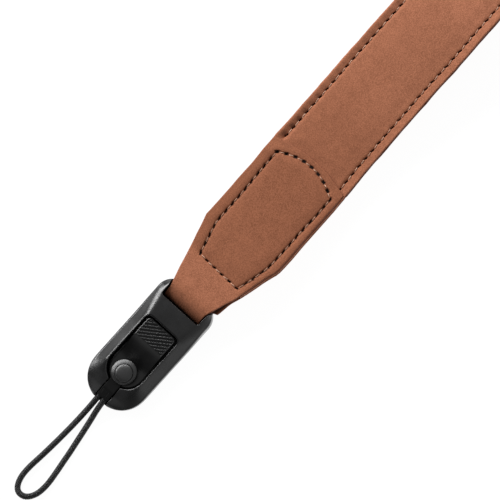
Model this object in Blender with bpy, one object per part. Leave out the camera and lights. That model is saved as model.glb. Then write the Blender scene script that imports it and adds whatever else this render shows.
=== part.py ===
"""A camera wrist strap: a leather loop, a quick-release buckle, and a cord loop on an anchor.

Run with blender --background --python part.py. Metres, +Z up. The strap lies face up on a surface
at z = 0, with the cord loop towards -X and the leather loop towards +X.
"""

import math

import bmesh
import bpy
from mathutils import Vector

# Clearance between pieces that touch, and between the leathers of the joint
GAP = 0.0003

# Buckle housing, from its round nose to the bar that carries the leather
NOSE_WALL = 0.0070
RECESS_LENGTH = 0.0242
BRIDGE_LENGTH = 0.0074
SLOT_SPARE = 0.0005
SLOT_FLOOR = 0.0008
BAR_DEPTH = 0.0052
BAR_THICKNESS = 0.0030
HOUSING_WIDTH = 0.0208
HOUSING_EDGE = 0.0005
CORNER_RADIUS = 0.0062
SIDE_WALL = 0.0046
RIM_HEIGHT = 0.0071
BRIDGE_HEIGHT = 0.0084
BASE_THICKNESS = 0.0012
SLOT_SIDE_CLEARANCE = 0.00075

# Keyhole recess in the housing, its cord channel and the ledge that the anchor sits over
RECESS_WIDTH = 0.0132
RECESS_CORNER = 0.0018
CHANNEL_WIDTH = 0.0049
CHANNEL_FLOOR = 0.0015
NOSE_START = 0.9
LEDGE_HEIGHT = 0.0036
LEDGE_LENGTH = 0.0094

# Release plate, which tilts about a pin under the anchor when its pad is pressed
PLATE_SIDE_CLEARANCE = 0.00075
PLATE_END_CLEARANCE = 0.0008
PLATE_THICKNESS = 0.0024
PLATE_CORNER = 0.0014
PAD_LENGTH = 0.0070
TONGUE_WIDTH = 0.0054
TONGUE_CLEARANCE = 0.0004
TONGUE_DROP = 0.0002
TONGUE_RISE = 0.0006
PIN_RADIUS = 0.0006
PIN_CLEARANCE = 0.00025
PIN_REACH = 0.0014
PIN_FROM_RECESS = 0.0024
RIB_PITCH = 0.00082
RIB_GROOVE = 0.00042
RIB_DEPTH = 0.00045
RIB_ANGLE = math.radians(32)
RIB_BORDER = 0.00045

# Anchor: a round base with a cap pressed in, and a neck that holds both ends of the cord
ANCHOR_RADIUS = 0.0044
ANCHOR_HEIGHT = 0.0026
ANCHOR_END_CLEARANCE = 0.0005
CAP_RADIUS = 0.00285
CAP_DEPTH = 0.0008
CAP_RISE = 0.0007
NECK_CLEARANCE = 0.00035
NECK_HEIGHT = 0.0019
NECK_LENGTH = 0.0026
NECK_LIFT = 0.0001
NECK_ROOT = 0.0033
ANCHOR_EDGE = 0.0004
ANCHOR_SHOULDER = 0.0013
ANCHOR_DOME_SHARE = 0.8
CAP_LIP = 0.0001

# Leathers
TAB_THICKNESS = 0.0013
FACE_THICKNESS = 0.0012
LINING_THICKNESS = 0.0012
TAB_WIDTH = 0.0138
BAND_WIDTH = 0.0297
FLAP_INSET = 0.00035
BACK_FLAP_MARGIN = 0.0005
BAND_CROWN = 0.0004
FLAP_CROWN = 0.00035
FLAP_SKIVE = 0.00045
SKIVE_LENGTH = 0.0050
FLAP_BOW = 0.0026
TAPER_LENGTH = 0.0264

# Lengths of the leather along X, from the housing outwards
FREE_TAB_LENGTH = 0.0085
JOINT_LENGTH = 0.0456
LOOP_LENGTH = 0.1294
LOOP_HEIGHT = 0.0200

CORD_DIAMETER = 0.0019

# Height of the housing's surfaces along it: place as a share of the housing's length from the nose,
# then the side wall's top and the rim as shares of their full heights, and the bridge as a share of
# its rise over the rim
HOUSING_HEIGHTS = (
    # along, wall, rim, bridge
    (0.00, 0.72, 0.62, 0.00),
    (0.08, 0.84, 0.74, 0.00),
    (0.16, 0.94, 0.88, 0.00),
    (0.26, 1.00, 0.98, 0.00),
    (0.50, 1.00, 1.00, 0.00),
    (0.64, 1.00, 1.00, 0.25),
    (0.70, 1.00, 1.00, 0.85),
    (0.80, 1.00, 0.99, 1.00),
    (0.92, 1.00, 0.96, 0.94),
    (1.00, 0.94, 0.90, 0.80),
)

# Shoulder lines of the housing: along as above, then each line's distance from the middle as a share
# of half the housing's width
SHOULDERS = (
    # along, outer, inner
    (0.00, 0.62, 0.56),
    (0.20, 0.70, 0.655),
    (0.64, 0.70, 0.665),
    (0.74, 0.78, 0.70),
    (0.86, 0.90, 0.76),
    (1.00, 0.95, 0.80),
)

# The shoulder lines stay inside the housing's outline at the nose, at these shares of its half width
OUTER_SHOULDER_LIMIT = 0.86
INNER_SHOULDER_LIMIT = 0.94

# Side view of the open loop, at the middle of the band's thickness: along as a share of the loop's
# length, height as a share of the way from the lying run up to the crest
UPPER_RUN = (
    # along, height
    (0.10, 0.262),
    (0.26, 0.36),
    (0.45, 0.55),
    (0.64, 0.76),
    (0.80, 0.93),
    (0.90, 1.00),
    (0.955, 0.955),
    (0.988, 0.77),
    (1.000, 0.48),
)
LOWER_RUN = (
    # along, height
    (0.988, 0.19),
    (0.950, 0.04),
    (0.890, 0.0),
    (0.60, 0.0),
    (0.28, 0.0),
    (0.12, 0.022),
)

# Section of a sewn leather across its width: across as a share of the half width, rise as a share of
# the crown. The dip is the line of stitches, and the strip outside it bulges before the cut edge.
SEWN_SECTION = (
    # across, rise
    (0.0, 1.0),
    (0.45, 0.85),
    (0.70, 0.40),
    (0.81, -0.35),
    (0.91, 0.30),
    (1.0, -0.45),
)

# Route of the cord loop: distance from the nose, distance to the left of the middle, and height of
# its centre, from the anchor's neck out along one leg, round the end and back along the other
CORD_ROUTE = (
    (0.0046, 0.00110, 0.00485),
    (0.0030, 0.00106, 0.00440),
    (0.0012, 0.00100, 0.00355),
    (-0.0012, 0.00097, 0.00245),
    (-0.0036, 0.00098, 0.00150),
    (-0.0064, 0.00100, 0.00102),
    (-0.0104, 0.00105, 0.00098),
    (-0.0154, 0.00125, 0.00098),
    (-0.0204, 0.00155, 0.00098),
    (-0.0254, 0.00195, 0.00098),
    (-0.0294, 0.00235, 0.00098),
    (-0.0324, 0.00245, 0.00098),
    (-0.0349, 0.00215, 0.00098),
    (-0.0370, 0.00135, 0.00098),
    (-0.0383, 0.00010, 0.00098),
    (-0.0386, -0.00150, 0.00098),
    (-0.0380, -0.00310, 0.00098),
    (-0.0365, -0.00440, 0.00098),
    (-0.0344, -0.00525, 0.00098),
    (-0.0319, -0.00555, 0.00098),
    (-0.0294, -0.00550, 0.00098),
    (-0.0259, -0.00510, 0.00098),
    (-0.0224, -0.00460, 0.00098),
    (-0.0184, -0.00405, 0.00098),
    (-0.0144, -0.00340, 0.00098),
    (-0.0104, -0.00275, 0.00098),
    (-0.0064, -0.00205, 0.00102),
    (-0.0036, -0.00155, 0.00150),
    (-0.0012, -0.00130, 0.00245),
    (0.0012, -0.00118, 0.00355),
    (0.0030, -0.00112, 0.00440),
    (0.0046, -0.00110, 0.00485),
)

ROUND_STEPS = 16

# Places along X that follow from the sizes
slot_length = GAP + TAB_THICKNESS + SLOT_SPARE
housing_length = NOSE_WALL + RECESS_LENGTH + BRIDGE_LENGTH + slot_length + BAR_DEPTH
overall_length = housing_length + FREE_TAB_LENGTH + JOINT_LENGTH + LOOP_LENGTH
nose = -overall_length / 2
recess_start = nose + NOSE_WALL
recess_end = recess_start + RECESS_LENGTH
slot_start = recess_end + BRIDGE_LENGTH
bar_start = slot_start + slot_length
housing_end = bar_start + BAR_DEPTH
joint_start = housing_end + FREE_TAB_LENGTH
joint_end = joint_start + JOINT_LENGTH
loop_end = joint_end + LOOP_LENGTH
taper_start = bar_start
taper_end = bar_start + TAPER_LENGTH

# Heights of the leathers' middles where they lie on each other in the joint
back_flap_middle = TAB_THICKNESS / 2
lower_band_middle = TAB_THICKNESS + GAP + FACE_THICKNESS + GAP / 2
upper_band_middle = lower_band_middle + GAP / 2 + LINING_THICKNESS + GAP + LINING_THICKNESS + GAP / 2
flap_middle = upper_band_middle + GAP / 2 + FACE_THICKNESS + GAP + TAB_THICKNESS / 2
lying_middle = FACE_THICKNESS + GAP / 2

bar_height = SLOT_FLOOR + GAP + TAB_THICKNESS + GAP + BAR_THICKNESS / 2

# Places inside the recess
anchor_x = recess_start + ANCHOR_END_CLEARANCE + ANCHOR_RADIUS
anchor_floor = LEDGE_HEIGHT + GAP
ledge_end = recess_start + LEDGE_LENGTH
plate_half_width = RECESS_WIDTH / 2 - PLATE_SIDE_CLEARANCE
tongue_bottom = BASE_THICKNESS + TONGUE_CLEARANCE
tongue_top = LEDGE_HEIGHT - TONGUE_DROP
pin_x = recess_start + PIN_FROM_RECESS
pin_height = (tongue_bottom + tongue_top) / 2
tongue_back = pin_x - PIN_RADIUS - TONGUE_CLEARANCE


def make_material(name, colour, roughness):
    """One material, with its own shader, for one or two pieces."""
    material = bpy.data.materials.new(name)
    material.use_nodes = True
    shader = material.node_tree.nodes["Principled BSDF"]
    shader.inputs["Base Color"].default_value = (*colour, 1.0)
    shader.inputs["Roughness"].default_value = roughness
    shader.inputs["Metallic"].default_value = 0.0
    material.diffuse_color = (*colour, 1.0)
    return material


def spread(start, end, steps):
    """Evenly spaced values from start to end, both included."""
    return [start + (end - start) * i / steps for i in range(steps + 1)]


def between(table, place, column):
    """The value of a table's column at a place along its first column."""
    rows = sorted(table)
    if place <= rows[0][0]:
        return rows[0][column]
    for low, high in zip(rows, rows[1:]):
        if place <= high[0]:
            share = (place - low[0]) / (high[0] - low[0])
            return low[column] + share * (high[column] - low[column])
    return rows[-1][column]


def smooth_step(share):
    """A share from 0 to 1, eased at both ends."""
    share = min(max(share, 0.0), 1.0)
    return share * share * (3 - 2 * share)


def smooth_curve(points, steps):
    """A smooth curve through the points, with the given number of steps between each two."""
    points = [Vector(point) for point in points]
    padded = [2 * points[0] - points[1], *points, 2 * points[-1] - points[-2]]
    curve = []
    for before, start, end, after in zip(padded, padded[1:], padded[2:], padded[3:]):
        for step in range(steps):
            t = step / steps
            curve.append(
                0.5
                * (
                    2 * start
                    + (end - before) * t
                    + (2 * before - 5 * start + 4 * end - after) * t**2
                    + (3 * start - before - 3 * end + after) * t**3
                )
            )
    curve.append(points[-1])
    return curve


def solid_from_rings(name, rings, material=None):
    """A closed solid: rings of equally many points joined by quads, with a face over each end."""
    mesh = bpy.data.meshes.new(name)
    shape = bmesh.new()
    rows = [[shape.verts.new(point) for point in ring] for ring in rings]
    count = len(rows[0])
    for row, following in zip(rows, rows[1:]):
        for i in range(count):
            j = (i + 1) % count
            shape.faces.new((row[i], row[j], following[j], following[i]))
    shape.faces.new(rows[0])
    shape.faces.new(rows[-1])
    bmesh.ops.recalc_face_normals(shape, faces=shape.faces)
    shape.to_mesh(mesh)
    shape.free()
    thing = bpy.data.objects.new(name, mesh)
    bpy.context.scene.collection.objects.link(thing)
    if material:
        mesh.materials.append(material)
        mesh.shade_smooth()
        mesh.set_sharp_from_angle(angle=math.radians(35))
    return thing


def as_cutter(thing):
    """A solid that shapes another and isn't part of the strap."""
    thing.hide_render = True
    thing.display_type = "WIRE"
    return thing


def cut(target, cutter, operation="DIFFERENCE"):
    """Take the cutter away from the target, or join or intersect them."""
    boolean = target.modifiers.new(cutter.name, "BOOLEAN")
    boolean.operation = operation
    boolean.solver = "EXACT"
    boolean.object = as_cutter(cutter)


def upright(name, outline, low, high, material=None):
    """An outline in the XY plane, raised from one height to another."""
    rings = [[Vector((x, y, z)) for x, y in outline] for z in (low, high)]
    return solid_from_rings(name, rings, material)


def sideways(name, outline, half_width, material=None):
    """An outline in the XZ plane, drawn across Y. The half width is a number or a function of x."""
    width = half_width if callable(half_width) else lambda x: half_width
    rings = [[Vector((x, side * width(x), z)) for x, z in outline] for side in (-1, 1)]
    return solid_from_rings(name, rings, material)


def arc(centre, radius, start, end, steps=ROUND_STEPS):
    """Points of an arc, with its angles in degrees."""
    angles = [math.radians(start + (end - start) * i / steps) for i in range(steps + 1)]
    return [(centre[0] + radius * math.cos(a), centre[1] + radius * math.sin(a)) for a in angles]


def turned(name, profile, centre_x, material=None, sides=2 * ROUND_STEPS):
    """A profile of radius and height turned about an upright axis."""
    rings = []
    for radius, height in profile:
        circle = arc((centre_x, 0.0), radius, 0, 360 * (sides - 1) / sides, sides - 1)
        rings.append([Vector((x, y, height)) for x, y in circle])
    return solid_from_rings(name, rings, material)


def tab_half_width(x):
    """The leather tab widens in a straight taper from the bar to the full width of the flap."""
    share = min(max((x - taper_start) / (taper_end - taper_start), 0.0), 1.0)
    return TAB_WIDTH / 2 + share * (BAND_WIDTH / 2 - FLAP_INSET - TAB_WIDTH / 2)


def housing_half_width(x):
    """Plan outline of the housing: a half round nose and rounded corners at the bar."""
    half = HOUSING_WIDTH / 2
    from_nose = x - nose
    from_end = housing_end - x
    if from_nose < half:
        return math.sqrt(max(half**2 - (half - from_nose) ** 2, 0.0))
    if from_end < CORNER_RADIUS:
        return half - CORNER_RADIUS + math.sqrt(CORNER_RADIUS**2 - (CORNER_RADIUS - from_end) ** 2)
    return half


def housing_section(x):
    """Outline of the housing across its length: flat underside, side walls, sloping flanks and the top."""
    along = (x - nose) / housing_length
    half = housing_half_width(x)
    edge = min(HOUSING_EDGE, half / 4)
    wall = SIDE_WALL * between(HOUSING_HEIGHTS, along, 1)
    rim = RIM_HEIGHT * between(HOUSING_HEIGHTS, along, 2)
    top = rim + (BRIDGE_HEIGHT - RIM_HEIGHT) * between(HOUSING_HEIGHTS, along, 3)
    outer = min(between(SHOULDERS, along, 1) * HOUSING_WIDTH / 2, OUTER_SHOULDER_LIMIT * half)
    inner = min(between(SHOULDERS, along, 2) * HOUSING_WIDTH / 2, INNER_SHOULDER_LIMIT * outer)
    right = [(half - edge, 0.0), (half, edge), (half, wall), (half - edge / 2, wall + edge / 2)]
    right += [(outer, rim), (inner, top)]
    left = [(-y, z) for y, z in reversed(right)]
    return [Vector((x, y, z)) for y, z in right + left]


def make_housing(material):
    """The housing is one lofted shell with its passages, recess and channel cut out."""
    half = HOUSING_WIDTH / 2
    first = math.degrees(math.asin(NOSE_START * CHANNEL_WIDTH / HOUSING_WIDTH))
    stations = [nose + half * (1 - math.cos(math.radians(a))) for a in spread(first, 90, 12)]
    straight = housing_end - CORNER_RADIUS
    stations += spread(stations[-1], straight, 12)[1:]
    turns = [math.radians(a) for a in spread(0, 90, 8)]
    stations += [housing_end - CORNER_RADIUS * (1 - math.sin(turn)) for turn in turns[1:]]
    housing = solid_from_rings("buckle_housing", [housing_section(x) for x in stations], material)
    high = 2 * BRIDGE_HEIGHT

    # Slot and bar: the leather passes over the bar, down the slot and back out over a thin floor
    past = housing_end + CORNER_RADIUS
    rounding = BAR_THICKNESS / 2
    low_bar = bar_height - rounding
    high_bar = bar_height + rounding
    passage = [(slot_start, SLOT_FLOOR), (taper_start, SLOT_FLOOR), (past, SLOT_FLOOR), (past, low_bar)]
    passage += arc((bar_start + rounding, bar_height), rounding, 270, 90)
    passage += [(past, high_bar), (past, high), (taper_start, high), (slot_start, high)]
    cut(housing, sideways("leather_passage", passage, lambda x: tab_half_width(x) + SLOT_SIDE_CLEARANCE))

    # Keyhole recess: a deep well for the release plate, and a ledge round the nose end for the anchor
    well = recess_outline(RECESS_WIDTH / 2, recess_end, RECESS_CORNER)
    cut(housing, upright("recess_ledge_cut", well, LEDGE_HEIGHT, high))
    side = RECESS_WIDTH / 2
    deep = [(ledge_end, -side), *corner_pair(recess_end, side, RECESS_CORNER), (ledge_end, side)]
    cut(housing, upright("recess_well_cut", deep, BASE_THICKNESS, high))
    tongue = TONGUE_WIDTH / 2 + TONGUE_CLEARANCE
    back = tongue_back - TONGUE_CLEARANCE
    trench = [(back, -tongue), (ledge_end + side, -tongue), (ledge_end + side, tongue), (back, tongue)]
    cut(housing, upright("tongue_cut", trench, BASE_THICKNESS, LEDGE_HEIGHT + GAP))
    hole = arc((pin_x, pin_height), PIN_RADIUS + PIN_CLEARANCE, 0, 337.5, 15)
    cut(housing, sideways("pin_hole_cut", hole, TONGUE_WIDTH / 2 + PIN_REACH + PIN_CLEARANCE))

    # Channel for the cord, open at the nose
    lane = CHANNEL_WIDTH / 2
    past_nose = nose - CHANNEL_WIDTH
    inside = recess_start + ANCHOR_RADIUS
    channel = [(past_nose, -lane), (back + GAP, -lane), (back + GAP, lane), (past_nose, lane)]
    cut(housing, upright("channel_cut", channel, CHANNEL_FLOOR, high))
    top_lane = [(past_nose, -lane), (inside, -lane), (inside, lane), (past_nose, lane)]
    cut(housing, upright("channel_top_cut", top_lane, LEDGE_HEIGHT, high))
    return housing


def corner_pair(end, side, radius):
    """The two rounded corners at the far end of a plan outline, from -y to +y."""
    right = arc((end - radius, radius - side), radius, 270, 360, 5)
    left = arc((end - radius, side - radius), radius, 0, 90, 5)
    return right + left


def recess_outline(side, end, radius):
    """A plan outline with a half round end towards the nose and two small corners at the other end."""
    return arc((recess_start + side, 0.0), side, 90, 270) + corner_pair(end, side, radius)


def make_release_plate(material):
    """The plate is a side profile drawn across the recess, with a narrow tongue that turns on the pin."""
    plate_end = recess_end - PLATE_END_CLEARANCE
    pad_start = plate_end - PAD_LENGTH
    top = RIM_HEIGHT
    profile = [
        (tongue_back, tongue_bottom),
        (pin_x + PIN_RADIUS, tongue_bottom),
        (ledge_end, tongue_bottom + TONGUE_RISE),
        (pad_start, top - PLATE_THICKNESS),
        (plate_end, top - PLATE_THICKNESS),
        (plate_end, top),
        (pad_start, top),
        (ledge_end + GAP, tongue_top),
        (tongue_back, tongue_top),
    ]
    plate = sideways("release_plate", profile, plate_half_width, material)

    # The plan outline keeps the wide part clear of the ledge and leaves the tongue
    wide = ledge_end + TONGUE_CLEARANCE
    tongue = TONGUE_WIDTH / 2
    far = corner_pair(plate_end, plate_half_width, PLATE_CORNER)
    past_back = tongue_back - GAP
    plan = [(past_back, -tongue), (wide, -tongue), (wide, -plate_half_width), *far]
    plan += [(wide, plate_half_width), (wide, tongue), (past_back, tongue)]
    cut(plate, upright("plate_plan", plan, -top, 2 * top), "INTERSECT")

    pin = sideways("plate_pin", arc((pin_x, pin_height), PIN_RADIUS, 0, 337.5, 15), tongue + PIN_REACH)
    cut(plate, pin, "UNION")
    cut(plate, make_rib_grooves(pad_start, plate_end, top))
    return plate


def make_rib_grooves(pad_start, pad_end, top):
    """Slanting grooves across the pad, held inside its border, which leave the grip ribs between them."""
    across = plate_half_width - RIB_BORDER
    low, high = pad_start + RIB_BORDER, pad_end - RIB_BORDER
    region = [(low, -across), *corner_pair(high, across, PLATE_CORNER - RIB_BORDER), (low, across)]
    region = upright("grip_region", region, top - RIB_DEPTH, top + RIB_DEPTH)
    lean = math.tan(RIB_ANGLE)
    step = RIB_PITCH / math.cos(RIB_ANGLE)
    half_groove = RIB_GROOVE / math.cos(RIB_ANGLE) / 2
    reach = 2 * across
    count = int((high - low + 2 * across * lean) / step) + 1
    shape = bmesh.new()
    heights = (top - RIB_DEPTH, top + 2 * RIB_DEPTH)
    for i in range(count):
        middle = low - across * lean + step * (i + 0.5)
        outline = [
            (middle - half_groove + reach * lean, -reach),
            (middle + half_groove + reach * lean, -reach),
            (middle + half_groove - reach * lean, reach),
            (middle - half_groove - reach * lean, reach),
        ]
        corners = [[shape.verts.new((x, y, z)) for x, y in outline] for z in heights]
        shape.faces.new(corners[0])
        shape.faces.new(corners[1])
        for j in range(4):
            k = (j + 1) % 4
            shape.faces.new((corners[0][j], corners[0][k], corners[1][k], corners[1][j]))
    bmesh.ops.recalc_face_normals(shape, faces=shape.faces)
    mesh = bpy.data.meshes.new("grip_grooves")
    shape.to_mesh(mesh)
    shape.free()
    grooves = bpy.data.objects.new("grip_grooves", mesh)
    bpy.context.scene.collection.objects.link(grooves)
    cut(grooves, region, "INTERSECT")
    return grooves


def make_anchor(material):
    """The anchor's base is turned, with a neck towards the nose that both ends of the cord run into."""
    seat = CAP_RADIUS + GAP
    shoulder = anchor_floor + ANCHOR_SHOULDER
    crown = anchor_floor + ANCHOR_HEIGHT
    socket = crown - CAP_DEPTH
    rounded = [
        (ANCHOR_RADIUS - ANCHOR_EDGE, anchor_floor),
        (ANCHOR_RADIUS, anchor_floor + ANCHOR_EDGE),
        (ANCHOR_RADIUS, shoulder),
    ]
    slope = ANCHOR_DOME_SHARE * (ANCHOR_RADIUS - seat)
    for angle in (30, 60, 90):
        turn = math.radians(angle)
        radius = ANCHOR_RADIUS - slope * (1 - math.cos(turn))
        rounded.append((radius, shoulder + (crown - shoulder) * math.sin(turn)))
    base = turned("anchor_base", [*rounded, (seat, crown), (seat, socket)], anchor_x, material)
    neck_side = CHANNEL_WIDTH / 2 - NECK_CLEARANCE
    neck_end = recess_start - NECK_LENGTH + ANCHOR_END_CLEARANCE
    neck_top = anchor_floor + NECK_HEIGHT
    root = anchor_x - NECK_ROOT
    plan = [(neck_end, -neck_side), (root, -neck_side), (root, neck_side), (neck_end, neck_side)]
    cut(base, upright("anchor_neck", plan, anchor_floor + NECK_LIFT, neck_top), "UNION")
    return base


def make_anchor_cap(material):
    """A low dome that sits in the anchor's socket."""
    crown = anchor_floor + ANCHOR_HEIGHT
    low = crown - CAP_DEPTH + GAP
    lip = crown - CAP_LIP
    profile = [(CAP_RADIUS, low), (CAP_RADIUS, lip)]
    for angle in (20, 40, 60, 78):
        turn = math.radians(angle)
        profile.append((CAP_RADIUS * math.cos(turn), lip + CAP_RISE * math.sin(turn)))
    return turned("anchor_cap", profile, anchor_x, material)


def make_cord(material):
    """A round cord along the route, with both ends inside the buckle."""
    points = [(nose + x, y, z) for x, y, z in CORD_ROUTE]
    curve = bpy.data.curves.new("cord_loop", "CURVE")
    curve.dimensions = "3D"
    curve.bevel_depth = CORD_DIAMETER / 2
    curve.bevel_resolution = 2
    curve.use_fill_caps = True
    spline = curve.splines.new("POLY")
    route = smooth_curve(points, 2)
    spline.points.add(len(route) - 1)
    for place, point in zip(route, spline.points):
        point.co = (*place, 1.0)
    cord = bpy.data.objects.new("cord_loop", curve)
    bpy.context.scene.collection.objects.link(cord)
    curve.materials.append(material)
    return cord


def sewn_rise(across):
    """Rise of a sewn leather's face at a place across it, as a share of its crown."""
    return between(SEWN_SECTION, abs(across), 1)


def strip(name, path, half_width, below, above, bow, material, across=None):
    """A strip of leather along a path in the XZ plane.

    Each place on the path has its normal; half_width, below, above and bow are functions of the
    place's index, and above takes the share across the width as well.
    """
    sides = across or sorted({sign * row[0] for row in SEWN_SECTION for sign in (-1, 1)})
    rings = []
    for i, place in enumerate(path):
        before = path[max(i - 1, 0)]
        after = path[min(i + 1, len(path) - 1)]
        run = (after - before).normalized()
        normal = Vector((-run.z, 0.0, run.x))
        half = half_width(i)
        top, bottom = [], []
        for share in sides:
            base = place + Vector((0.0, share * half, 0.0)) + run * bow(i) * (1 - share * share)
            top.append(base + normal * above(i, share))
            bottom.append(base - normal * below(i))
        rings.append(top + bottom[::-1])
    return solid_from_rings(name, rings, material)


def tab_path():
    """Middle of the tab's leather, from the back flap's end round the bar to the front flap's end."""
    turn = BAR_THICKNESS / 2 + GAP + TAB_THICKNESS / 2
    centre = (bar_start + BAR_THICKNESS / 2, bar_height)
    rise = spread(0.0, 1.0, 6)
    flat = [joint_start, *spread(taper_end, joint_end - 2 * SKIVE_LENGTH, 3)]
    flat += spread(joint_end - SKIVE_LENGTH, joint_end, 3)
    low = bar_height - turn
    high = bar_height + turn
    back = [(x, back_flap_middle) for x in flat[:0:-1]]
    for r in rise:
        height = back_flap_middle + (low - back_flap_middle) * smooth_step(r)
        back.append((joint_start - FREE_TAB_LENGTH * r, height))
    wrap = arc(centre, turn, 270, 90, 12)
    front = []
    for r in rise:
        height = high + (flap_middle - high) * smooth_step(r)
        front.append((housing_end + FREE_TAB_LENGTH * r, height))
    front += [(x, flap_middle) for x in flat[1:]]
    return [Vector((x, 0.0, z)) for x, z in back + wrap + front], len(back) + len(wrap)


def make_tab(material):
    """The tab, wrapped round the bar: its back flap lies under the band and its front flap on top."""
    path, wrap_last = tab_path()

    def is_front(i):
        """Whether a place on the path belongs to the front flap."""
        return i >= wrap_last

    def half_width(i):
        """The back flap is a little wider than the front one."""
        x = path[i].x
        margin = 0.0 if is_front(i) else BACK_FLAP_MARGIN * smooth_step((x - housing_end) / FREE_TAB_LENGTH)
        return tab_half_width(x) + margin

    def skive(i):
        """How much of its thickness the leather keeps: the front flap is pared down at its end."""
        return min(max((joint_end - path[i].x) / SKIVE_LENGTH, 0.0), 1.0) if is_front(i) else 1.0

    def above(i, share):
        """Outer side of the leather: up on the front flap, down on the back flap."""
        level = TAB_THICKNESS / 2
        if not is_front(i):
            return level
        sewn = smooth_step((path[i].x - joint_start) / FREE_TAB_LENGTH)
        full = level + FLAP_CROWN * sewn_rise(share) * sewn
        return FLAP_SKIVE - level + (full - FLAP_SKIVE + level) * skive(i)

    def bow(i):
        """The flaps end in a shallow arc."""
        near_end = smooth_step(1 - (joint_end - path[i].x) / (2 * SKIVE_LENGTH))
        return FLAP_BOW * near_end * (1 if is_front(i) else -1)

    return strip("leather_tab", path, half_width, lambda i: TAB_THICKNESS / 2, above, bow, material)


def band_path():
    """Middle of the band, from its upper end in the joint round the loop to its lower end in the joint."""
    crest = LOOP_HEIGHT - lying_middle
    far = loop_end - GAP / 2 - FACE_THICKNESS - BAND_CROWN
    start = joint_end + FLAP_BOW + GAP

    def place(along, height):
        """A point of the loop's side view."""
        return Vector((start + along * (far - start), 0.0, lying_middle + height * crest))

    flat = [joint_start, *spread(taper_end, start, 4)]
    upper = [Vector((x, 0.0, upper_band_middle)) for x in flat]
    lower = [Vector((x, 0.0, lower_band_middle)) for x in reversed(flat)]
    loop = [place(*row) for row in UPPER_RUN + LOWER_RUN]
    turn = smooth_curve([upper[-1], *loop, lower[0]], 3)
    return upper[:-1] + turn + lower[1:]


def make_band(name, inner, material):
    """One of the band's two leathers: the face on the outer side of the loop, or the lining inside it."""
    path = band_path()
    crest = max(range(len(path)), key=lambda i: path[i].x)
    start = joint_end + FLAP_BOW + GAP

    def half_width(i):
        """The band shows a little past the flap on both sides."""
        return tab_half_width(path[i].x) + FLAP_INSET

    def crown(i):
        """The face is crowned along the upper run, and pressed flat in the joint and where it lies."""
        if i > crest:
            return 0.0
        rise = smooth_step((path[i].x - start) / (2 * SKIVE_LENGTH))
        return rise * smooth_step((crest - i) / 6)

    def above(i, share):
        """Upper side of the leather, towards the outside of the loop."""
        if inner:
            return -GAP / 2
        return GAP / 2 + FACE_THICKNESS + BAND_CROWN * sewn_rise(share) * crown(i)

    def below(i):
        """Lower side of the leather, towards the inside of the loop."""
        return GAP / 2 + LINING_THICKNESS if inner else -GAP / 2

    across = [-1.0, 1.0] if inner else None
    return strip(name, path, half_width, below, above, lambda i: 0.0, material, across)


for old in list(bpy.data.objects):
    bpy.data.objects.remove(old)

black_plastic = make_material("black_plastic", (0.030, 0.030, 0.031), 0.42)
plate_plastic = make_material("plate_plastic", (0.022, 0.022, 0.023), 0.5)
anchor_plastic = make_material("anchor_plastic", (0.030, 0.030, 0.031), 0.33)
tab_leather = make_material("tab_leather", (0.34, 0.125, 0.068), 0.62)
face_leather = make_material("face_leather", (0.34, 0.125, 0.068), 0.62)
lining_leather = make_material("lining_leather", (0.36, 0.15, 0.085), 0.7)
cord_braid = make_material("cord_braid", (0.02, 0.02, 0.021), 0.75)

make_housing(black_plastic)
make_release_plate(plate_plastic)
make_anchor(anchor_plastic)
make_anchor_cap(anchor_plastic)
make_cord(cord_braid)
make_tab(tab_leather)
make_band("band_face", False, face_leather)
make_band("band_lining", True, lining_leather)
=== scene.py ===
"""Looks of the camera wrist strap: a stitched leather loop, a moulded quick-release buckle and a braided
cord loop on a round anchor. Metres, +Z up, the cord loop towards -X and the leather loop towards +X.
"""

import math

import bmesh
import bpy
import numpy as np
from mathutils import Matrix, Vector


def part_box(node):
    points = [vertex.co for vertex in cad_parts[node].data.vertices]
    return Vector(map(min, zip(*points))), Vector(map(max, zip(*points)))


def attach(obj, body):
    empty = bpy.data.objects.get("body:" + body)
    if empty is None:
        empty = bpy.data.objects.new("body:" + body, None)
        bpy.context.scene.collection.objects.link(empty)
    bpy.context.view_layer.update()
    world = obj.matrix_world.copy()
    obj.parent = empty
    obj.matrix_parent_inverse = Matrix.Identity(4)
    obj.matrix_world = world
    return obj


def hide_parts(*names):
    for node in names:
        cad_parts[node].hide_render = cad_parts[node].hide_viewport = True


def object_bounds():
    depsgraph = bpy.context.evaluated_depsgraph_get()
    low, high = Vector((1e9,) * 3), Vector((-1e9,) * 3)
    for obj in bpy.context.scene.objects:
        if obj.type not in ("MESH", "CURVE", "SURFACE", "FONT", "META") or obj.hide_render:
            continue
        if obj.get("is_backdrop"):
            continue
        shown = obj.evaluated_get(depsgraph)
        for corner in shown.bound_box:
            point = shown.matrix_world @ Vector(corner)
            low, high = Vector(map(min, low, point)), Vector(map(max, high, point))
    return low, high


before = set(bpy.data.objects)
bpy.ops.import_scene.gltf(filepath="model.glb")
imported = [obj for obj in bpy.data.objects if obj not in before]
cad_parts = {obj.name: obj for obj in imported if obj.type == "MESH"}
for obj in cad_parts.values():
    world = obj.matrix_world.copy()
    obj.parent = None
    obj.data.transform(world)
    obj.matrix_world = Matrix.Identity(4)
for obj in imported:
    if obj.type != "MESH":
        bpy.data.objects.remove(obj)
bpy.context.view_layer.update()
scene = bpy.context.scene
scene.view_settings.view_transform = "Standard"
scene.view_settings.look = "None"

# The camera hangs high above the strap with a long lens, almost square to it, turned so that the strap
# runs to the upper right, and leaning a little to the strap's right so that its right walls show.
VIEW_TURN = math.radians(48.0)
VIEW_LEAN = math.radians(5.5)
VIEW_TARGET = Vector((-0.04698, -0.0041, 0.0089))
VIEW_DISTANCE = 1.6
VIEW_WIDTH = 0.15873
SENSOR = 36.0

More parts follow.
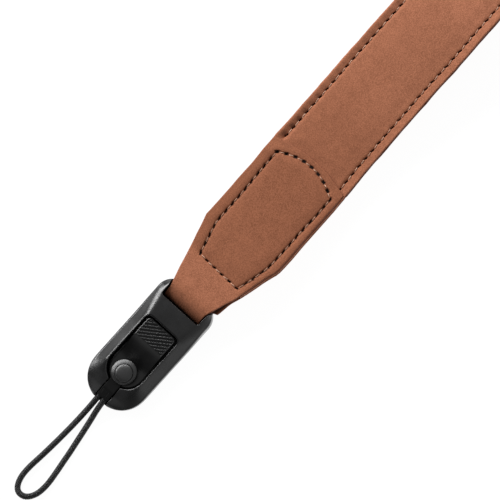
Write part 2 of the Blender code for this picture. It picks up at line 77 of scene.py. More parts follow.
lean = Matrix.Rotation(VIEW_LEAN, 3, "X")
right = lean @ Vector((math.cos(VIEW_TURN), -math.sin(VIEW_TURN), 0.0))
upwards = lean @ Vector((math.sin(VIEW_TURN), math.cos(VIEW_TURN), 0.0))
back = lean @ Vector((0.0, 0.0, 1.0))
lens = bpy.data.cameras.new("camera")
lens.sensor_width = SENSOR
lens.lens = SENSOR * VIEW_DISTANCE / VIEW_WIDTH
lens.clip_start = 0.01
lens.clip_end = 20.0
camera = bpy.data.objects.new("camera", lens)
camera.matrix_world = Matrix.Translation(VIEW_TARGET + back * VIEW_DISTANCE) @ Matrix(
    (right, upwards, back)
).transposed().to_4x4()
scene.collection.objects.link(camera)
scene.camera = camera


class Wire:
    """A node's output, which Python expressions turn into Math nodes."""

    def __init__(self, graph, socket):
        self.graph = graph
        self.socket = socket

    def other(self, name):
        """Another output of the same node."""
        return Wire(self.graph, self.socket.node.outputs[name])

    def __add__(self, value):
        return self.graph.math("ADD", self, value)

    def __radd__(self, value):
        return self.graph.math("ADD", value, self)

    def __sub__(self, value):
        return self.graph.math("SUBTRACT", self, value)

    def __rsub__(self, value):
        return self.graph.math("SUBTRACT", value, self)

    def __mul__(self, value):
        return self.graph.math("MULTIPLY", self, value)

    def __rmul__(self, value):
        return self.graph.math("MULTIPLY", value, self)

    def __truediv__(self, value):
        return self.graph.math("DIVIDE", self, value)

    def __rtruediv__(self, value):
        return self.graph.math("DIVIDE", value, self)


class Graph:
    """A node tree being built."""

    def __init__(self, tree):
        self.tree = tree

    def node(self, kind, settings=None, inputs=None, output=0):
        """Add a node: its settings come first, then the values or wires of its sockets."""
        node = self.tree.nodes.new(kind)
        for name, value in (settings or {}).items():
            setattr(node, name, value)
        for name, value in (inputs or {}).items():
            self.feed(node.inputs[name], value)
        return Wire(self, node.outputs[output]) if len(node.outputs) else node

    def feed(self, socket, value):
        """Give a socket its value, or link one or several wires to it."""
        if isinstance(value, Wire):
            self.tree.links.new(value.socket, socket)
        elif isinstance(value, list):
            for wire in value:
                self.tree.links.new(wire.socket, socket)
        else:
            socket.default_value = value

    def math(self, operation, first, second=0.0):
        """A Math node on wires or numbers."""
        return self.node("ShaderNodeMath", {"operation": operation}, {0: first, 1: second})

    def vector(self, operation, first, second=(0.0, 0.0, 0.0)):
        """A Vector Math node."""
        return self.node("ShaderNodeVectorMath", {"operation": operation}, {0: first, 1: second})

    def scaled(self, vector, factor):
        """A vector times a factor."""
        return self.node("ShaderNodeVectorMath", {"operation": "SCALE"}, {0: vector, "Scale": factor})

    def xyz(self, **parts):
        """A vector from wires or numbers for its X, Y and Z."""
        return self.node("ShaderNodeCombineXYZ", inputs=parts)

    def geo(self, kind, settings=None, **inputs):
        """A Geometry Nodes node, with the names of its sockets as keywords."""
        inputs = {name.replace("_", " "): value for name, value in inputs.items()}
        return self.node("GeometryNode" + kind, settings, inputs)

    def fit(self, value, low, high, start=0.0, end=1.0):
        """Carry a range of values smoothly to another, clamped at both ends."""
        inputs = {"Value": value, "From Min": low, "From Max": high, "To Min": start, "To Max": end}
        return self.node("ShaderNodeMapRange", {"interpolation_type": "SMOOTHSTEP"}, inputs)


class Finish(Graph):
    """A material: constants are set on the shader's own sockets, and what varies is linked."""

    def __init__(self, name, **constants):
        self.material = bpy.data.materials.new(name)
        self.material.use_nodes = True
        super().__init__(self.material.node_tree)
        self.shader = self.tree.nodes["Principled BSDF"]
        for key, value in constants.items():
            self.shader.inputs[key.replace("_", " ")].default_value = value
        self.place = self.node("ShaderNodeTexCoord", output="Object")

    def noise(self, scale, detail=2.0, place=None, roughness=0.5):
        """Noise with about that many features in a metre."""
        inputs = {"Vector": place or self.place, "Scale": scale, "Detail": detail}
        inputs["Roughness"] = roughness
        return self.node("ShaderNodeTexNoise", inputs=inputs)

    def stretched(self, factors):
        """Object coordinates scaled along each axis, for a grain that runs one way."""
        return self.node("ShaderNodeMapping", inputs={"Vector": self.place, "Scale": factors})

    def own(self, name):
        """A value that the mesh carries at each point."""
        return self.node("ShaderNodeAttribute", {"attribute_name": name}, output="Fac")

    def blend(self, factor, first, second, mode="MIX"):
        """Mix two colours."""
        settings = {"data_type": "RGBA", "blend_type": mode}
        inputs = {0: factor, 6: self.colour(first), 7: self.colour(second)}
        return self.node("ShaderNodeMix", settings, inputs, 2)

    def colour(self, value):
        """A colour with its alpha, or a wire as it is."""
        return value if isinstance(value, Wire) else (*value, 1.0)

    def wear(self, **wires):
        """Link what varies over the surface to the shader."""
        for key, value in wires.items():
            self.feed(self.shader.inputs[key.replace("_", " ")], value)

    def bump(self, height, distance, strength=1.0, under=None):
        """Raise the surface by a height of 0 to 1 times the distance in metres."""
        inputs = {"Height": height, "Distance": distance, "Strength": strength}
        if under:
            inputs["Normal"] = under
        return self.node("ShaderNodeBump", inputs=inputs)


# The strap lies on a white sheet in a light tent: one large panel low over the strap's left, soft light
# from the tent's walls, and a sheet that glows a little, as on a light table.
FLOOR_SIZE = 4.0
FLOOR_DROP = 0.0001
KEY_PLACE = Vector((0.261, 0.758, 0.47))
KEY_WIDTH = 2.10
KEY_HEIGHT = 0.21
KEY_POWER = 18.5
TENT_TOP = 0.34
TENT_RIGHT = 0.27
TENT_NEAR = 0.24
SHEET_TONE = 0.14
SHEET_GLOW = 0.95

key_light = bpy.data.lights.new("key_panel", "AREA")
key_light.shape = "RECTANGLE"
key_light.size = KEY_WIDTH
key_light.size_y = KEY_HEIGHT
key_light.energy = KEY_POWER
key_panel = bpy.data.objects.new("key_panel", key_light)
key_panel.location = KEY_PLACE
key_panel.rotation_euler = (KEY_PLACE - VIEW_TARGET).to_track_quat("Z", "Y").to_euler()
scene.collection.objects.link(key_panel)

tent = bpy.data.worlds.new("light_tent")
tent.use_nodes = True
scene.world = tent
walls = Graph(tent.node_tree)
way = walls.node("ShaderNodeSeparateXYZ", inputs={0: walls.node("ShaderNodeTexCoord", output="Generated")})
glow = TENT_TOP + walls.fit(way.other("Y") * -1.0, 0.70, 1.0) * TENT_RIGHT
glow = glow - walls.fit(way.other("X") * -1.0, 0.15, 0.85) * TENT_NEAR
walls.feed(tent.node_tree.nodes["Background"].inputs["Strength"], glow)
walls.feed(tent.node_tree.nodes["Background"].inputs["Color"], (1.0, 1.0, 1.0, 1.0))

half_floor = FLOOR_SIZE / 2
floor_mesh = bpy.data.meshes.new("floor")
floor_corners = [(x, y, -FLOOR_DROP) for x, y in ((-1, -1), (1, -1), (1, 1), (-1, 1))]
floor_corners = [(x * half_floor, y * half_floor, z) for x, y, z in floor_corners]
floor_mesh.from_pydata(floor_corners, [], [(0, 1, 2, 3)])
floor = bpy.data.objects.new("floor", floor_mesh)
scene.collection.objects.link(floor)
white_sheet = Finish("white_sheet", Roughness=0.9, Specular_IOR_Level=0.1)
white_sheet.wear(Base_Color=(SHEET_TONE, SHEET_TONE, SHEET_TONE, 1.0))
white_sheet.wear(Emission_Color=(1.0, 1.0, 1.0, 1.0), Emission_Strength=SHEET_GLOW)
floor_mesh.materials.append(white_sheet.material)
floor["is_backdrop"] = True


# The cord loop is a thin braid of black yarn, 12 strands that pass over and under each other round a
# core. Both its ends run into the anchor's neck, inside the buckle's channel.
CORD_STEP = 0.000085
STRANDS_EACH_WAY = 6
LAY_LENGTH = 0.00252
BRAID_RADIUS = 0.00077
STRAND_RADIUS = 0.00019
WEAVE_DEPTH = 0.00008
CORE_RADIUS = 0.00070
CORD_SHIFT = 0.00025
CORD_STRETCH = 1.021
ROUTE_STEPS = 8
YARN_SIDES = 5
CORE_SIDES = 16
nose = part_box("buckle_housing")[0].x
CORD_ROUTE = (
    (0.0046, 0.00110, 0.00405),
    (0.0030, 0.00106, 0.00375),
    (0.0012, 0.00100, 0.00315),
    (-0.0012, 0.00097, 0.00235),
    (-0.0036, 0.00098, 0.00150),
    (-0.0064, 0.00100, 0.00102),
    (-0.0104, 0.00105, 0.00098),
    (-0.0154, 0.00125, 0.00098),
    (-0.0204, 0.00155, 0.00098),
    (-0.0254, 0.00195, 0.00098),
    (-0.0294, 0.00235, 0.00098),
    (-0.0324, 0.00245, 0.00098),
    (-0.0349, 0.00215, 0.00098),
    (-0.0370, 0.00135, 0.00098),
    (-0.0383, 0.00010, 0.00098),
    (-0.0386, -0.00150, 0.00098),
    (-0.0380, -0.00310, 0.00098),
    (-0.0365, -0.00440, 0.00098),
    (-0.0344, -0.00525, 0.00098),
    (-0.0319, -0.00555, 0.00098),
    (-0.0294, -0.00550, 0.00098),
    (-0.0259, -0.00510, 0.00098),
    (-0.0224, -0.00460, 0.00098),
    (-0.0184, -0.00405, 0.00098),
    (-0.0144, -0.00340, 0.00098),
    (-0.0104, -0.00275, 0.00098),
    (-0.0064, -0.00205, 0.00102),
    (-0.0036, -0.00155, 0.00150),
    (-0.0012, -0.00130, 0.00235),
    (0.0012, -0.00118, 0.00315),
    (0.0030, -0.00112, 0.00375),
    (0.0046, -0.00110, 0.00405),
)


def smooth_curve(points, steps):
    """A smooth curve through the points, with that many steps between each two."""
    points = np.array(points)
    padded = np.vstack([2 * points[0] - points[1], points, 2 * points[-1] - points[-2]])
    curve = []
    for before, start, end, after in zip(padded, padded[1:], padded[2:], padded[3:]):
        for t in np.arange(steps) / steps:
            line = 2 * start + (end - before) * t + (2 * before - 5 * start + 4 * end - after) * t**2
            curve.append((line + (3 * start - before - 3 * end + after) * t**3) / 2)
    return np.array([*curve, points[-1]])


def new_piece(name, mesh, *materials):
    """An object at the origin with that mesh."""
    for material in materials:
        mesh.materials.append(material)
    piece = bpy.data.objects.new(name, mesh)
    scene.collection.objects.link(piece)
    return piece


def line_mesh(name, points, closed=False):
    """A mesh of edges along the points."""
    mesh = bpy.data.meshes.new(name)
    count = len(points)
    edges = [(i, (i + 1) % count) for i in range(count if closed else count - 1)]
    mesh.from_pydata([tuple(point) for point in points], edges, [])
    return mesh


def node_group(name, **inputs):
    """A Geometry Nodes tree with a geometry in and out, a named input for each size, and their getter."""
    kinds = {float: "NodeSocketFloat", int: "NodeSocketInt"}
    tree = bpy.data.node_groups.new(name, "GeometryNodeTree")
    tree.interface.new_socket("Geometry", in_out="INPUT", socket_type="NodeSocketGeometry")
    tree.interface.new_socket("Geometry", in_out="OUTPUT", socket_type="NodeSocketGeometry")
    for key, value in inputs.items():
        kind = kinds.get(type(value), "NodeSocketMaterial")
        tree.interface.new_socket(key.replace("_", " "), in_out="INPUT", socket_type=kind)
    graph = Graph(tree)
    return graph, graph.node("NodeGroupInput").other


def grown(thing, graph, result, **inputs):
    """Run a tree on an object and return what it makes as a plain mesh."""
    graph.node("NodeGroupOutput", inputs={"Geometry": result})
    modifier = thing.modifiers.new("grow", "NODES")
    modifier.node_group = graph.tree
    for item in graph.tree.interface.items_tree:
        key = item.name.replace(" ", "_")
        if item.in_out == "INPUT" and key in inputs:
            modifier[item.identifier] = inputs[key]
    return settled(thing)


def settled(thing):
    """The object's mesh with its modifiers applied. The object itself is removed."""
    graph = bpy.context.evaluated_depsgraph_get()
    graph.update()
    name = thing.data.name
    thing.data.name = name + "_start"
    mesh = bpy.data.meshes.new_from_object(thing.evaluated_get(graph), depsgraph=graph)
    mesh.name = name
    bpy.data.objects.remove(thing)
    return mesh


black_yarn = Finish(
    "black_yarn", Roughness=0.38, Specular_IOR_Level=0.50, Sheen_Weight=0.05, Sheen_Roughness=0.4
)
yarn_fuzz = black_yarn.noise(9000.0, 3.0)
yarn_tone = black_yarn.noise(900.0, 2.0)
black_yarn.wear(
    Base_Color=black_yarn.blend(
        black_yarn.fit(yarn_fuzz * 0.6 + yarn_tone * 0.4, 0.35, 0.68),
        (0.004, 0.004, 0.0043),
        (0.012, 0.012, 0.0125),
    ),
    Normal=black_yarn.bump(yarn_fuzz, 0.000012),
)

cord_points = [(nose + CORD_STRETCH * x, y + CORD_SHIFT, z) for x, y, z in CORD_ROUTE]
cord_points = smooth_curve(cord_points, ROUTE_STEPS)
cord_sizes = {
    "Step": CORD_STEP,
    "Strands": STRANDS_EACH_WAY,
    "Lay": LAY_LENGTH,
    "Radius": BRAID_RADIUS,
    "Strand": STRAND_RADIUS,
    "Depth": WEAVE_DEPTH,
    "Core": CORE_RADIUS,
    "Finish": black_yarn.material,
}
braid, size = node_group("braid", **cord_sizes)
route = braid.geo("MeshToCurve", Mesh=size("Geometry"))
route = braid.geo("ResampleCurve", {"mode": "LENGTH"}, Curve=route, Length=size("Step"))
copies = braid.geo("DuplicateElements", {"domain": "SPLINE"}, Geometry=route, Amount=size("Strands") * 2.0)
number = copies.other("Duplicate Index")
way = braid.math("MODULO", number, 2.0) * 2.0 - 1.0
strand = braid.math("FLOOR", number / 2.0)
travelled = braid.node("GeometryNodeSplineParameter", output="Length") / size("Lay")
angle = way * travelled * math.tau + strand * math.tau / size("Strands")
over = braid.math("COSINE", travelled * size("Strands") * math.tau)
reach = size("Radius") + way * over * size("Depth")
normal = braid.geo("InputNormal")
side = braid.vector("CROSS_PRODUCT", braid.geo("InputTangent"), normal)
first = braid.scaled(normal, reach * braid.math("COSINE", angle))
second = braid.scaled(side, reach * braid.math("SINE", angle))
copies = braid.geo("SetPosition", Geometry=copies, Offset=braid.vector("ADD", first, second))
yarn_round = braid.geo("CurvePrimitiveCircle", Resolution=YARN_SIDES, Radius=size("Strand"))
core_round = braid.geo("CurvePrimitiveCircle", Resolution=CORE_SIDES, Radius=size("Core"))
yarns = braid.geo("CurveToMesh", Curve=copies, Profile_Curve=yarn_round, Fill_Caps=True)
core = braid.geo("CurveToMesh", Curve=route, Profile_Curve=core_round, Fill_Caps=True)
whole = braid.geo("JoinGeometry", Geometry=[core, yarns])
whole = braid.geo("SetShadeSmooth", Geometry=whole)
whole = braid.geo("RealizeInstances", Geometry=whole)
whole = braid.geo("SetMaterial", Geometry=whole, Material=size("Finish"))
cord_line = new_piece("cord_line", line_mesh("braided_cord", cord_points))
braided_cord = new_piece("braided_cord", grown(cord_line, braid, whole, **cord_sizes))
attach(braided_cord, "strap")
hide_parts("cord_loop")


# The buckle housing is injection moulded in black nylon. A bridge stands over the slot for the leather,
# the flanks slope outwards from a fine chamfer round the keyhole recess, and every edge is eased.
housing_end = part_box("buckle_housing")[1].x
housing_length = housing_end - nose
HOUSING_WIDTH = 0.0211
CORNER_RADIUS = 0.0058
END_TAPER = 0.00010
NOSE_FULLNESS = 2.2
NOSE_REACH = 0.00045
SIDE_WALL = 0.0040
RIM_HEIGHT = 0.0071
BRIDGE_HEIGHT = 0.0084
FOOT_EDGE = 0.0005
SLOT_FLOOR = 0.0008
SLOT_SIDE_CLEARANCE = 0.00042
SLOT_CORNER = 0.0009
BAR_DEPTH = 0.0052
BAR_THICKNESS = 0.0030
BAR_HEIGHT = 0.0042
SLOT_LENGTH = 0.0021
BRIDGE_LENGTH = 0.0074
RECESS_LENGTH = 0.0242
RECESS_WIDTH = 0.0133
RECESS_CORNER = 0.0018
CREASE_SOFTNESS = 0.00062
BEVEL_BOW = 0.05
RIM_CHAMFER_WIDTH = 0.00056
RIM_CHAMFER_DEPTH = 0.00034
BASE_THICKNESS = 0.0012
CHANNEL_WIDTH = 0.0049
CHANNEL_FLOOR = 0.0015
LEAST_FLANK = 0.0006
DOME_POWER = 0.8
HOUSING_VOXEL = 0.000192
HOUSING_EASING = 3
HOUSING_TRIANGLES = 198000
DRAWING_STEP = 0.00016
KINK_ROUNDS = 14
DRAWN_REACH = 0.00025
LEAST_ALIKE = 0.91
ALIKE_RANGE = 0.05
nose_tip = nose - NOSE_REACH
bar_start = housing_end - BAR_DEPTH
slot_start = bar_start - SLOT_LENGTH
recess_end = slot_start - BRIDGE_LENGTH
recess_start = recess_end - RECESS_LENGTH

# Along the housing from its nose to the bar: the heights of the side wall and the rim as shares of their
# full heights, and how far the top rises from the rim to the bridge
HOUSING_HEIGHTS = np.array(
    (
        # along, wall, rim, bridge
        (0.00, 0.72, 0.62, 0.00),
        (0.08, 0.80, 0.65, 0.00),
        (0.16, 0.89, 0.82, 0.00),
        (0.25, 1.00, 1.046, 0.00),
        (0.50, 1.00, 1.046, 0.00),
        (0.60, 1.00, 1.046, 0.00),
        (0.669, 1.05, 1.00, 0.62),
        (0.73, 1.26, 1.00, 0.88),
        (0.778, 1.42, 1.00, 1.00),
        (0.847, 1.56, 1.00, 1.02),
        (0.895, 1.64, 0.99, 1.00),
        (1.00, 1.45, 0.95, 0.96),
    )
)
# The half widths at the flank's head and at the bevel's head, as shares of the housing's half width
SHOULDERS = np.array(
    (
        # along, outer, inner
        (0.00, 0.60, 0.56),
        (0.20, 0.645, 0.625),
        (0.60, 0.640, 0.620),
        (0.669, 0.70, 0.565),
        (0.73, 0.797, 0.605),
        (0.778, 0.862, 0.647),
        (0.847, 0.932, 0.703),
        (0.895, 0.955, 0.742),
        (1.00, 0.965, 0.78),
    )
)
NOSE_DOME = (0.08, 0.27)
GRID_TURN = math.radians(20)
TAB_WIDTH = 0.0138
FLAP_WIDTH = 0.0293
TAPER_LENGTH = 0.0264
WRAP_HALF = 0.00735


def column(table, along, number):
    """A table's column at a place along its first column."""
    return float(np.interp(along, table[:, 0], table[:, number]))


def tab_half_width(x):
    """The leather tab widens in a straight taper from the bar to the flap's full width."""
    share = np.clip((x - bar_start) / TAPER_LENGTH, 0.0, 1.0)
    return (TAB_WIDTH + share * (FLAP_WIDTH - TAB_WIDTH)) / 2


def rings_mesh(name, rings):
    """A closed mesh of equally long rings, with a face over each end."""
    shape = bmesh.new()
    rows = [[shape.verts.new(point) for point in ring] for ring in rings]
    count = len(rows[0])
    for row, following in zip(rows, rows[1:]):
        for i in range(count):
            j = (i + 1) % count
            shape.faces.new((row[i], row[j], following[j], following[i]))
    shape.faces.new(rows[0])
    shape.faces.new(rows[-1])
    bmesh.ops.recalc_face_normals(shape, faces=shape.faces)
    mesh = bpy.data.meshes.new(name)
    shape.to_mesh(mesh)
    shape.free()
    return mesh


def upright(name, outline, low, high):
    """An outline in the XY plane, raised from one height to another."""
    rings = [[(x, y, z) for x, y in outline] for z in (low, high)]
    return new_piece(name, rings_mesh(name, rings))


def sideways(name, outline, half_width):
    """An outline in the XZ plane, drawn across Y to a half width."""
    rings = [[(x, y, z) for x, z in outline] for y in (-half_width, half_width)]
    return new_piece(name, rings_mesh(name, rings))


def arc(centre, radius, start, end, steps=24):
    """Points of an arc, with its angles in degrees."""
    turns = np.radians(np.linspace(start, end, steps + 1))
    return [(centre[0] + radius * math.cos(a), centre[1] + radius * math.sin(a)) for a in turns]


def corner_pair(end, half, radius):
    """The two rounded corners at the far end of a plan outline, from -y to +y."""
    low = arc((end - radius, radius - half), radius, 270, 360, 10)
    return low + arc((end - radius, half - radius), radius, 0, 90, 10)


def cut(target, cutter, operation="DIFFERENCE"):
    """Apply a Boolean at once. The cutter is removed."""
    boolean = target.modifiers.new("cut", "BOOLEAN")
    boolean.operation = operation
    boolean.solver = "EXACT"
    boolean.object = cutter
    mesh = settled(target)
    bpy.data.objects.remove(cutter)
    return new_piece(mesh.name, mesh)


def moulded(name, solid, voxel, easing, triangles):
    """Turn a sharp solid into a moulding with eased edges. Its grid lies askew, so no edge runs along it."""
    askew = Matrix.Rotation(GRID_TURN, 4, Vector((0.3, 0.2, 1.0)))
    solid.data.transform(askew)
    remesh = solid.modifiers.new("skin", "REMESH")
    remesh.mode = "VOXEL"
    remesh.voxel_size = voxel
    ease = solid.modifiers.new("ease", "SMOOTH")
    ease.factor = 0.5
    ease.iterations = easing
    mesh = settled(solid)
    solid = new_piece(name, mesh)
    thin = solid.modifiers.new("thin", "DECIMATE")
    thin.ratio = min(1.0, triangles / (2 * len(mesh.polygons)))
    mesh = settled(solid)
    mesh.name = name
    mesh.transform(askew.inverted())
    mesh.shade_smooth()
    return mesh


def own_normals(mesh):
    """The mesh's own normals at its points."""
    normals = np.empty(3 * len(mesh.vertices))
    mesh.vertex_normals.foreach_get("vector", normals)
    return normals.reshape(-1, 3)


def evened(mesh, rounds, crease, drawn=None):
    """Even out the shading over smooth faces. Where the surface was drawn, its drawing gives the normals."""
    count = len(mesh.vertices)
    normals = own_normals(mesh)
    given, trust = drawn or (normals, np.zeros((count, 1)))
    ends = np.empty(2 * len(mesh.edges), dtype=int)
    mesh.edges.foreach_get("vertices", ends)
    first, second = ends.reshape(-1, 2).T
    for _ in range(rounds):
        weight = np.exp(((normals[first] * normals[second]).sum(axis=1) - 1) / crease)
        total = normals.copy()
        for axis in range(3):
            total[:, axis] += np.bincount(first, weight * normals[second, axis], count)
            total[:, axis] += np.bincount(second, weight * normals[first, axis], count)
        normals = total / np.linalg.norm(total, axis=1)[:, None]
    normals = trust * given + (1 - trust) * normals
    mesh.normals_split_custom_set_from_vertices(normals)
    return mesh


def housing_half_width(x):
    """Plan outline of the housing: a full round nose and rounded corners at the bar."""
    half = HOUSING_WIDTH / 2
    inset = END_TAPER * min(max((x - recess_end) / BRIDGE_LENGTH, 0.0), 1.0)
    from_nose = min((x - nose_tip) / half, 1.0)
    from_end = min((housing_end - x) / CORNER_RADIUS, 1.0)
    round_nose = (1 - (1 - from_nose) ** NOSE_FULLNESS) ** (1 / NOSE_FULLNESS)
    round_end = math.sqrt(max(1 - (1 - from_end) ** 2, 0.0))
    return half * round_nose - CORNER_RADIUS * (1 - round_end) - inset


def shoulders(x):
    """Half widths at the side wall, the bevel's foot and its head."""
    along = max((x - nose) / housing_length, 0.0)
    half = housing_half_width(x)
    outer = min(column(SHOULDERS, along, 1) * HOUSING_WIDTH / 2, half - LEAST_FLANK)
    return half, outer, min(column(SHOULDERS, along, 2) * HOUSING_WIDTH / 2, 0.94 * outer)


def top_height(x, y):
    """Height of the upper surface: flanks, bevels and bridge, which give way to a dome at the nose."""
    along = max((x - nose) / housing_length, 0.0)
    half, outer, inner = shoulders(x)
    wall = SIDE_WALL * column(HOUSING_HEIGHTS, along, 1)
    rim = RIM_HEIGHT * column(HOUSING_HEIGHTS, along, 2)
    top = rim + (BRIDGE_HEIGHT - RIM_HEIGHT) * column(HOUSING_HEIGHTS, along, 3)
    soft = max(min(CREASE_SOFTNESS, half - abs(y)), 0.0)
    spots = soft * np.linspace(-1.0, 1.0, 7) - abs(y)
    down = np.clip((-spots - inner) / (outer - inner), 0.0, 1.0)
    bevel = (top - rim) * (1 - down) * (1 + BEVEL_BOW * down)
    faceted = np.mean(np.interp(spots, (-half, -outer), (wall, rim)) + bevel)
    domed = wall + (rim - wall) * max(1 - (y / half) ** 2, 0.0) ** DOME_POWER
    share = np.interp(along, NOSE_DOME, (1.0, 0.0))
    share = share * share * (3 - 2 * share)
    return float(faceted + (domed - faceted) * share)


def housing_ring(x):
    """Section of the housing: flat foot, side walls and the upper surface."""
    half, outer, inner = shoulders(x)
    foot = min(FOOT_EDGE, half / 4)
    across = [*np.linspace(half - foot / 2, outer, 9), *np.linspace(outer, inner, 9)[1:]]
    across += list(np.linspace(inner, 0.0, 6)[1:-1])
    near = [(half - foot, 0.0), (half, foot), (half, top_height(x, half))]
    near += [(y, top_height(x, y)) for y in across]
    return [(x, y, z) for y, z in near + [(-y, z) for y, z in reversed(near)]]


first_turn = math.asin(0.9 * CHANNEL_WIDTH / HOUSING_WIDTH)
nose_turns = np.linspace(first_turn, math.pi / 2, 28)
stations = list(nose_tip + HOUSING_WIDTH / 2 * (1 - np.cos(nose_turns)))
stations += list(np.linspace(stations[-1], housing_end - CORNER_RADIUS, 40)[1:])
end_turns = np.linspace(0.0, math.pi / 2, 20)
stations += list(housing_end - CORNER_RADIUS * (1 - np.sin(end_turns)))[1:]
shell = new_piece("moulded_housing", rings_mesh("moulded_housing", [housing_ring(x) for x in stations]))

above_all = 2 * BRIDGE_HEIGHT
past_end = housing_end + CORNER_RADIUS
bar_round = BAR_THICKNESS / 2
passage = [(slot_start, SLOT_FLOOR), (past_end, SLOT_FLOOR), (past_end, BAR_HEIGHT - bar_round)]
passage += arc((bar_start + bar_round, BAR_HEIGHT), bar_round, 270, 90)
passage += [(past_end, BAR_HEIGHT + bar_round), (past_end, above_all), (slot_start, above_all)]
slot_half = WRAP_HALF + SLOT_SIDE_CLEARANCE
wide_x = bar_start + TAPER_LENGTH * (2 * WRAP_HALF - TAB_WIDTH) / (FLAP_WIDTH - TAB_WIDTH)
past_half = float(tab_half_width(past_end)) + SLOT_SIDE_CLEARANCE
corner = slot_start + SLOT_CORNER, slot_half - SLOT_CORNER
slot_plan = arc(corner, SLOT_CORNER, 90, 180, 10) + arc((corner[0], -corner[1]), SLOT_CORNER, 180, 270, 10)
slot_plan += [(wide_x, -slot_half), (past_end, -past_half), (past_end, past_half), (wide_x, slot_half)]
passage = sideways("leather_passage", passage, HOUSING_WIDTH)
passage = cut(passage, upright("slot_plan", slot_plan, 0.0, above_all), "INTERSECT")
shell = cut(shell, passage)


def keyhole(grow):
    """Plan outline of the recess: half round at the nose end, small corners at the other."""
    half = RECESS_WIDTH / 2 + grow
    centre = recess_start + RECESS_WIDTH / 2
    return arc((centre, 0.0), half, 90, 270, 40) + corner_pair(recess_end + grow, half, RECESS_CORNER + grow)


rim_levels = [top_height(x, y) for x, y in keyhole(0.0)]
wide_plan = keyhole(3 * RIM_CHAMFER_WIDTH)
well_rings = [[(x, y, BASE_THICKNESS) for x, y in keyhole(0.0)]]
well_rings.append([(x, y, z - RIM_CHAMFER_DEPTH) for (x, y), z in zip(keyhole(0.0), rim_levels)])
well_rings.append([(x, y, z + 2 * RIM_CHAMFER_DEPTH) for (x, y), z in zip(wide_plan, rim_levels)])
well_rings.append([(x, y, above_all) for x, y in wide_plan])
shell = cut(shell, new_piece("recess_well", rings_mesh("recess_well", well_rings)))
lane = CHANNEL_WIDTH / 2
past_nose = nose - CHANNEL_WIDTH
inside = recess_start + RECESS_WIDTH / 3
lane_plan = [(past_nose, -lane), (inside, -lane), (inside, lane), (past_nose, lane)]
shell = cut(shell, upright("cord_channel", lane_plan, CHANNEL_FLOOR, above_all))

# The upper surface as it's drawn, on a fine grid over one half, with its kinks eased
drawing_x = np.arange(nose_tip + DRAWING_STEP, housing_end, DRAWING_STEP)
drawing_y = np.arange(0.0, HOUSING_WIDTH / 2, DRAWING_STEP)
drawn_levels = np.array([[top_height(x, y) for y in drawing_y] for x in drawing_x])
for _ in range(KINK_ROUNDS):
    ringed = np.pad(drawn_levels, 1, mode="reflect")
    beside = ringed[:-2, 1:-1] + ringed[2:, 1:-1] + ringed[1:-1, :-2] + ringed[1:-1, 2:]
    drawn_levels = (beside + 4 * drawn_levels) / 8
drawn_slopes = np.gradient(drawn_levels, DRAWING_STEP)


def on_drawing(table, x, y):
    """A table's values between the points of the drawing's grid."""
    row = np.clip((x - drawing_x[0]) / DRAWING_STEP, 0.0, len(drawing_x) - 1.001)
    place = np.clip(np.abs(y) / DRAWING_STEP, 0.0, len(drawing_y) - 1.001)
    i, j = row.astype(int), place.astype(int)
    u, v = row - i, place - j
    near = table[i, j] * (1 - v) + table[i, j + 1] * v
    far = table[i + 1, j] * (1 - v) + table[i + 1, j + 1] * v
    return near * (1 - u) + far * u


def laid_on_drawing(mesh):
    """Lay the upper surface exactly on its drawn heights, and give its normals and where they hold."""
    points = np.empty(3 * len(mesh.vertices))
    mesh.vertices.foreach_get("co", points)
    points = points.reshape(-1, 3)
    x, y, z = points.T
    along, across = (on_drawing(table, x, y) for table in drawn_slopes)
    normals = np.stack([-along, -across * np.sign(y), np.ones(len(x))], axis=1)
    normals /= np.linalg.norm(normals, axis=1)[:, None]
    alike = (normals * own_normals(mesh)).sum(axis=1)
    off = on_drawing(drawn_levels, x, y) - z
    trust = np.clip((alike - LEAST_ALIKE) / ALIKE_RANGE, 0.0, 1.0) * (np.abs(off) < DRAWN_REACH)
    points[:, 2] += trust * off
    mesh.vertices.foreach_set("co", points.ravel())
    return normals, trust[:, None]


housing_mesh = moulded("moulded_housing", shell, HOUSING_VOXEL, HOUSING_EASING, HOUSING_TRIANGLES)
housing_mesh = evened(housing_mesh, 8, 0.03, laid_on_drawing(housing_mesh))
moulded_housing = new_piece("moulded_housing", housing_mesh)


def moulded_black(name, tone, lit_tone, gloss, roughness, grain):
    """Black moulded plastic: a fine spark-eroded texture, faint cloudiness and slightly paler wear."""
    plastic = Finish(name, Specular_IOR_Level=gloss)
    pits = plastic.noise(5200.0, 3.0, roughness=0.6)
    cloud = plastic.noise(160.0, 3.0)
    plastic.wear(
        Base_Color=plastic.blend(plastic.fit(cloud * 0.5 + pits * 0.5, 0.35, 0.65), tone, lit_tone),
        Roughness=plastic.fit(cloud, 0.3, 0.7, roughness - 0.05, roughness + 0.06),
        Normal=plastic.bump(pits, grain),
    )
    return plastic.material


housing_black = moulded_black(
    "housing_black", (0.003, 0.003, 0.0032), (0.014, 0.014, 0.0146), 0.71, 0.28, 0.0000022
)
moulded_housing.data.materials.append(housing_black)
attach(moulded_housing, "strap")
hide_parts("buckle_housing")


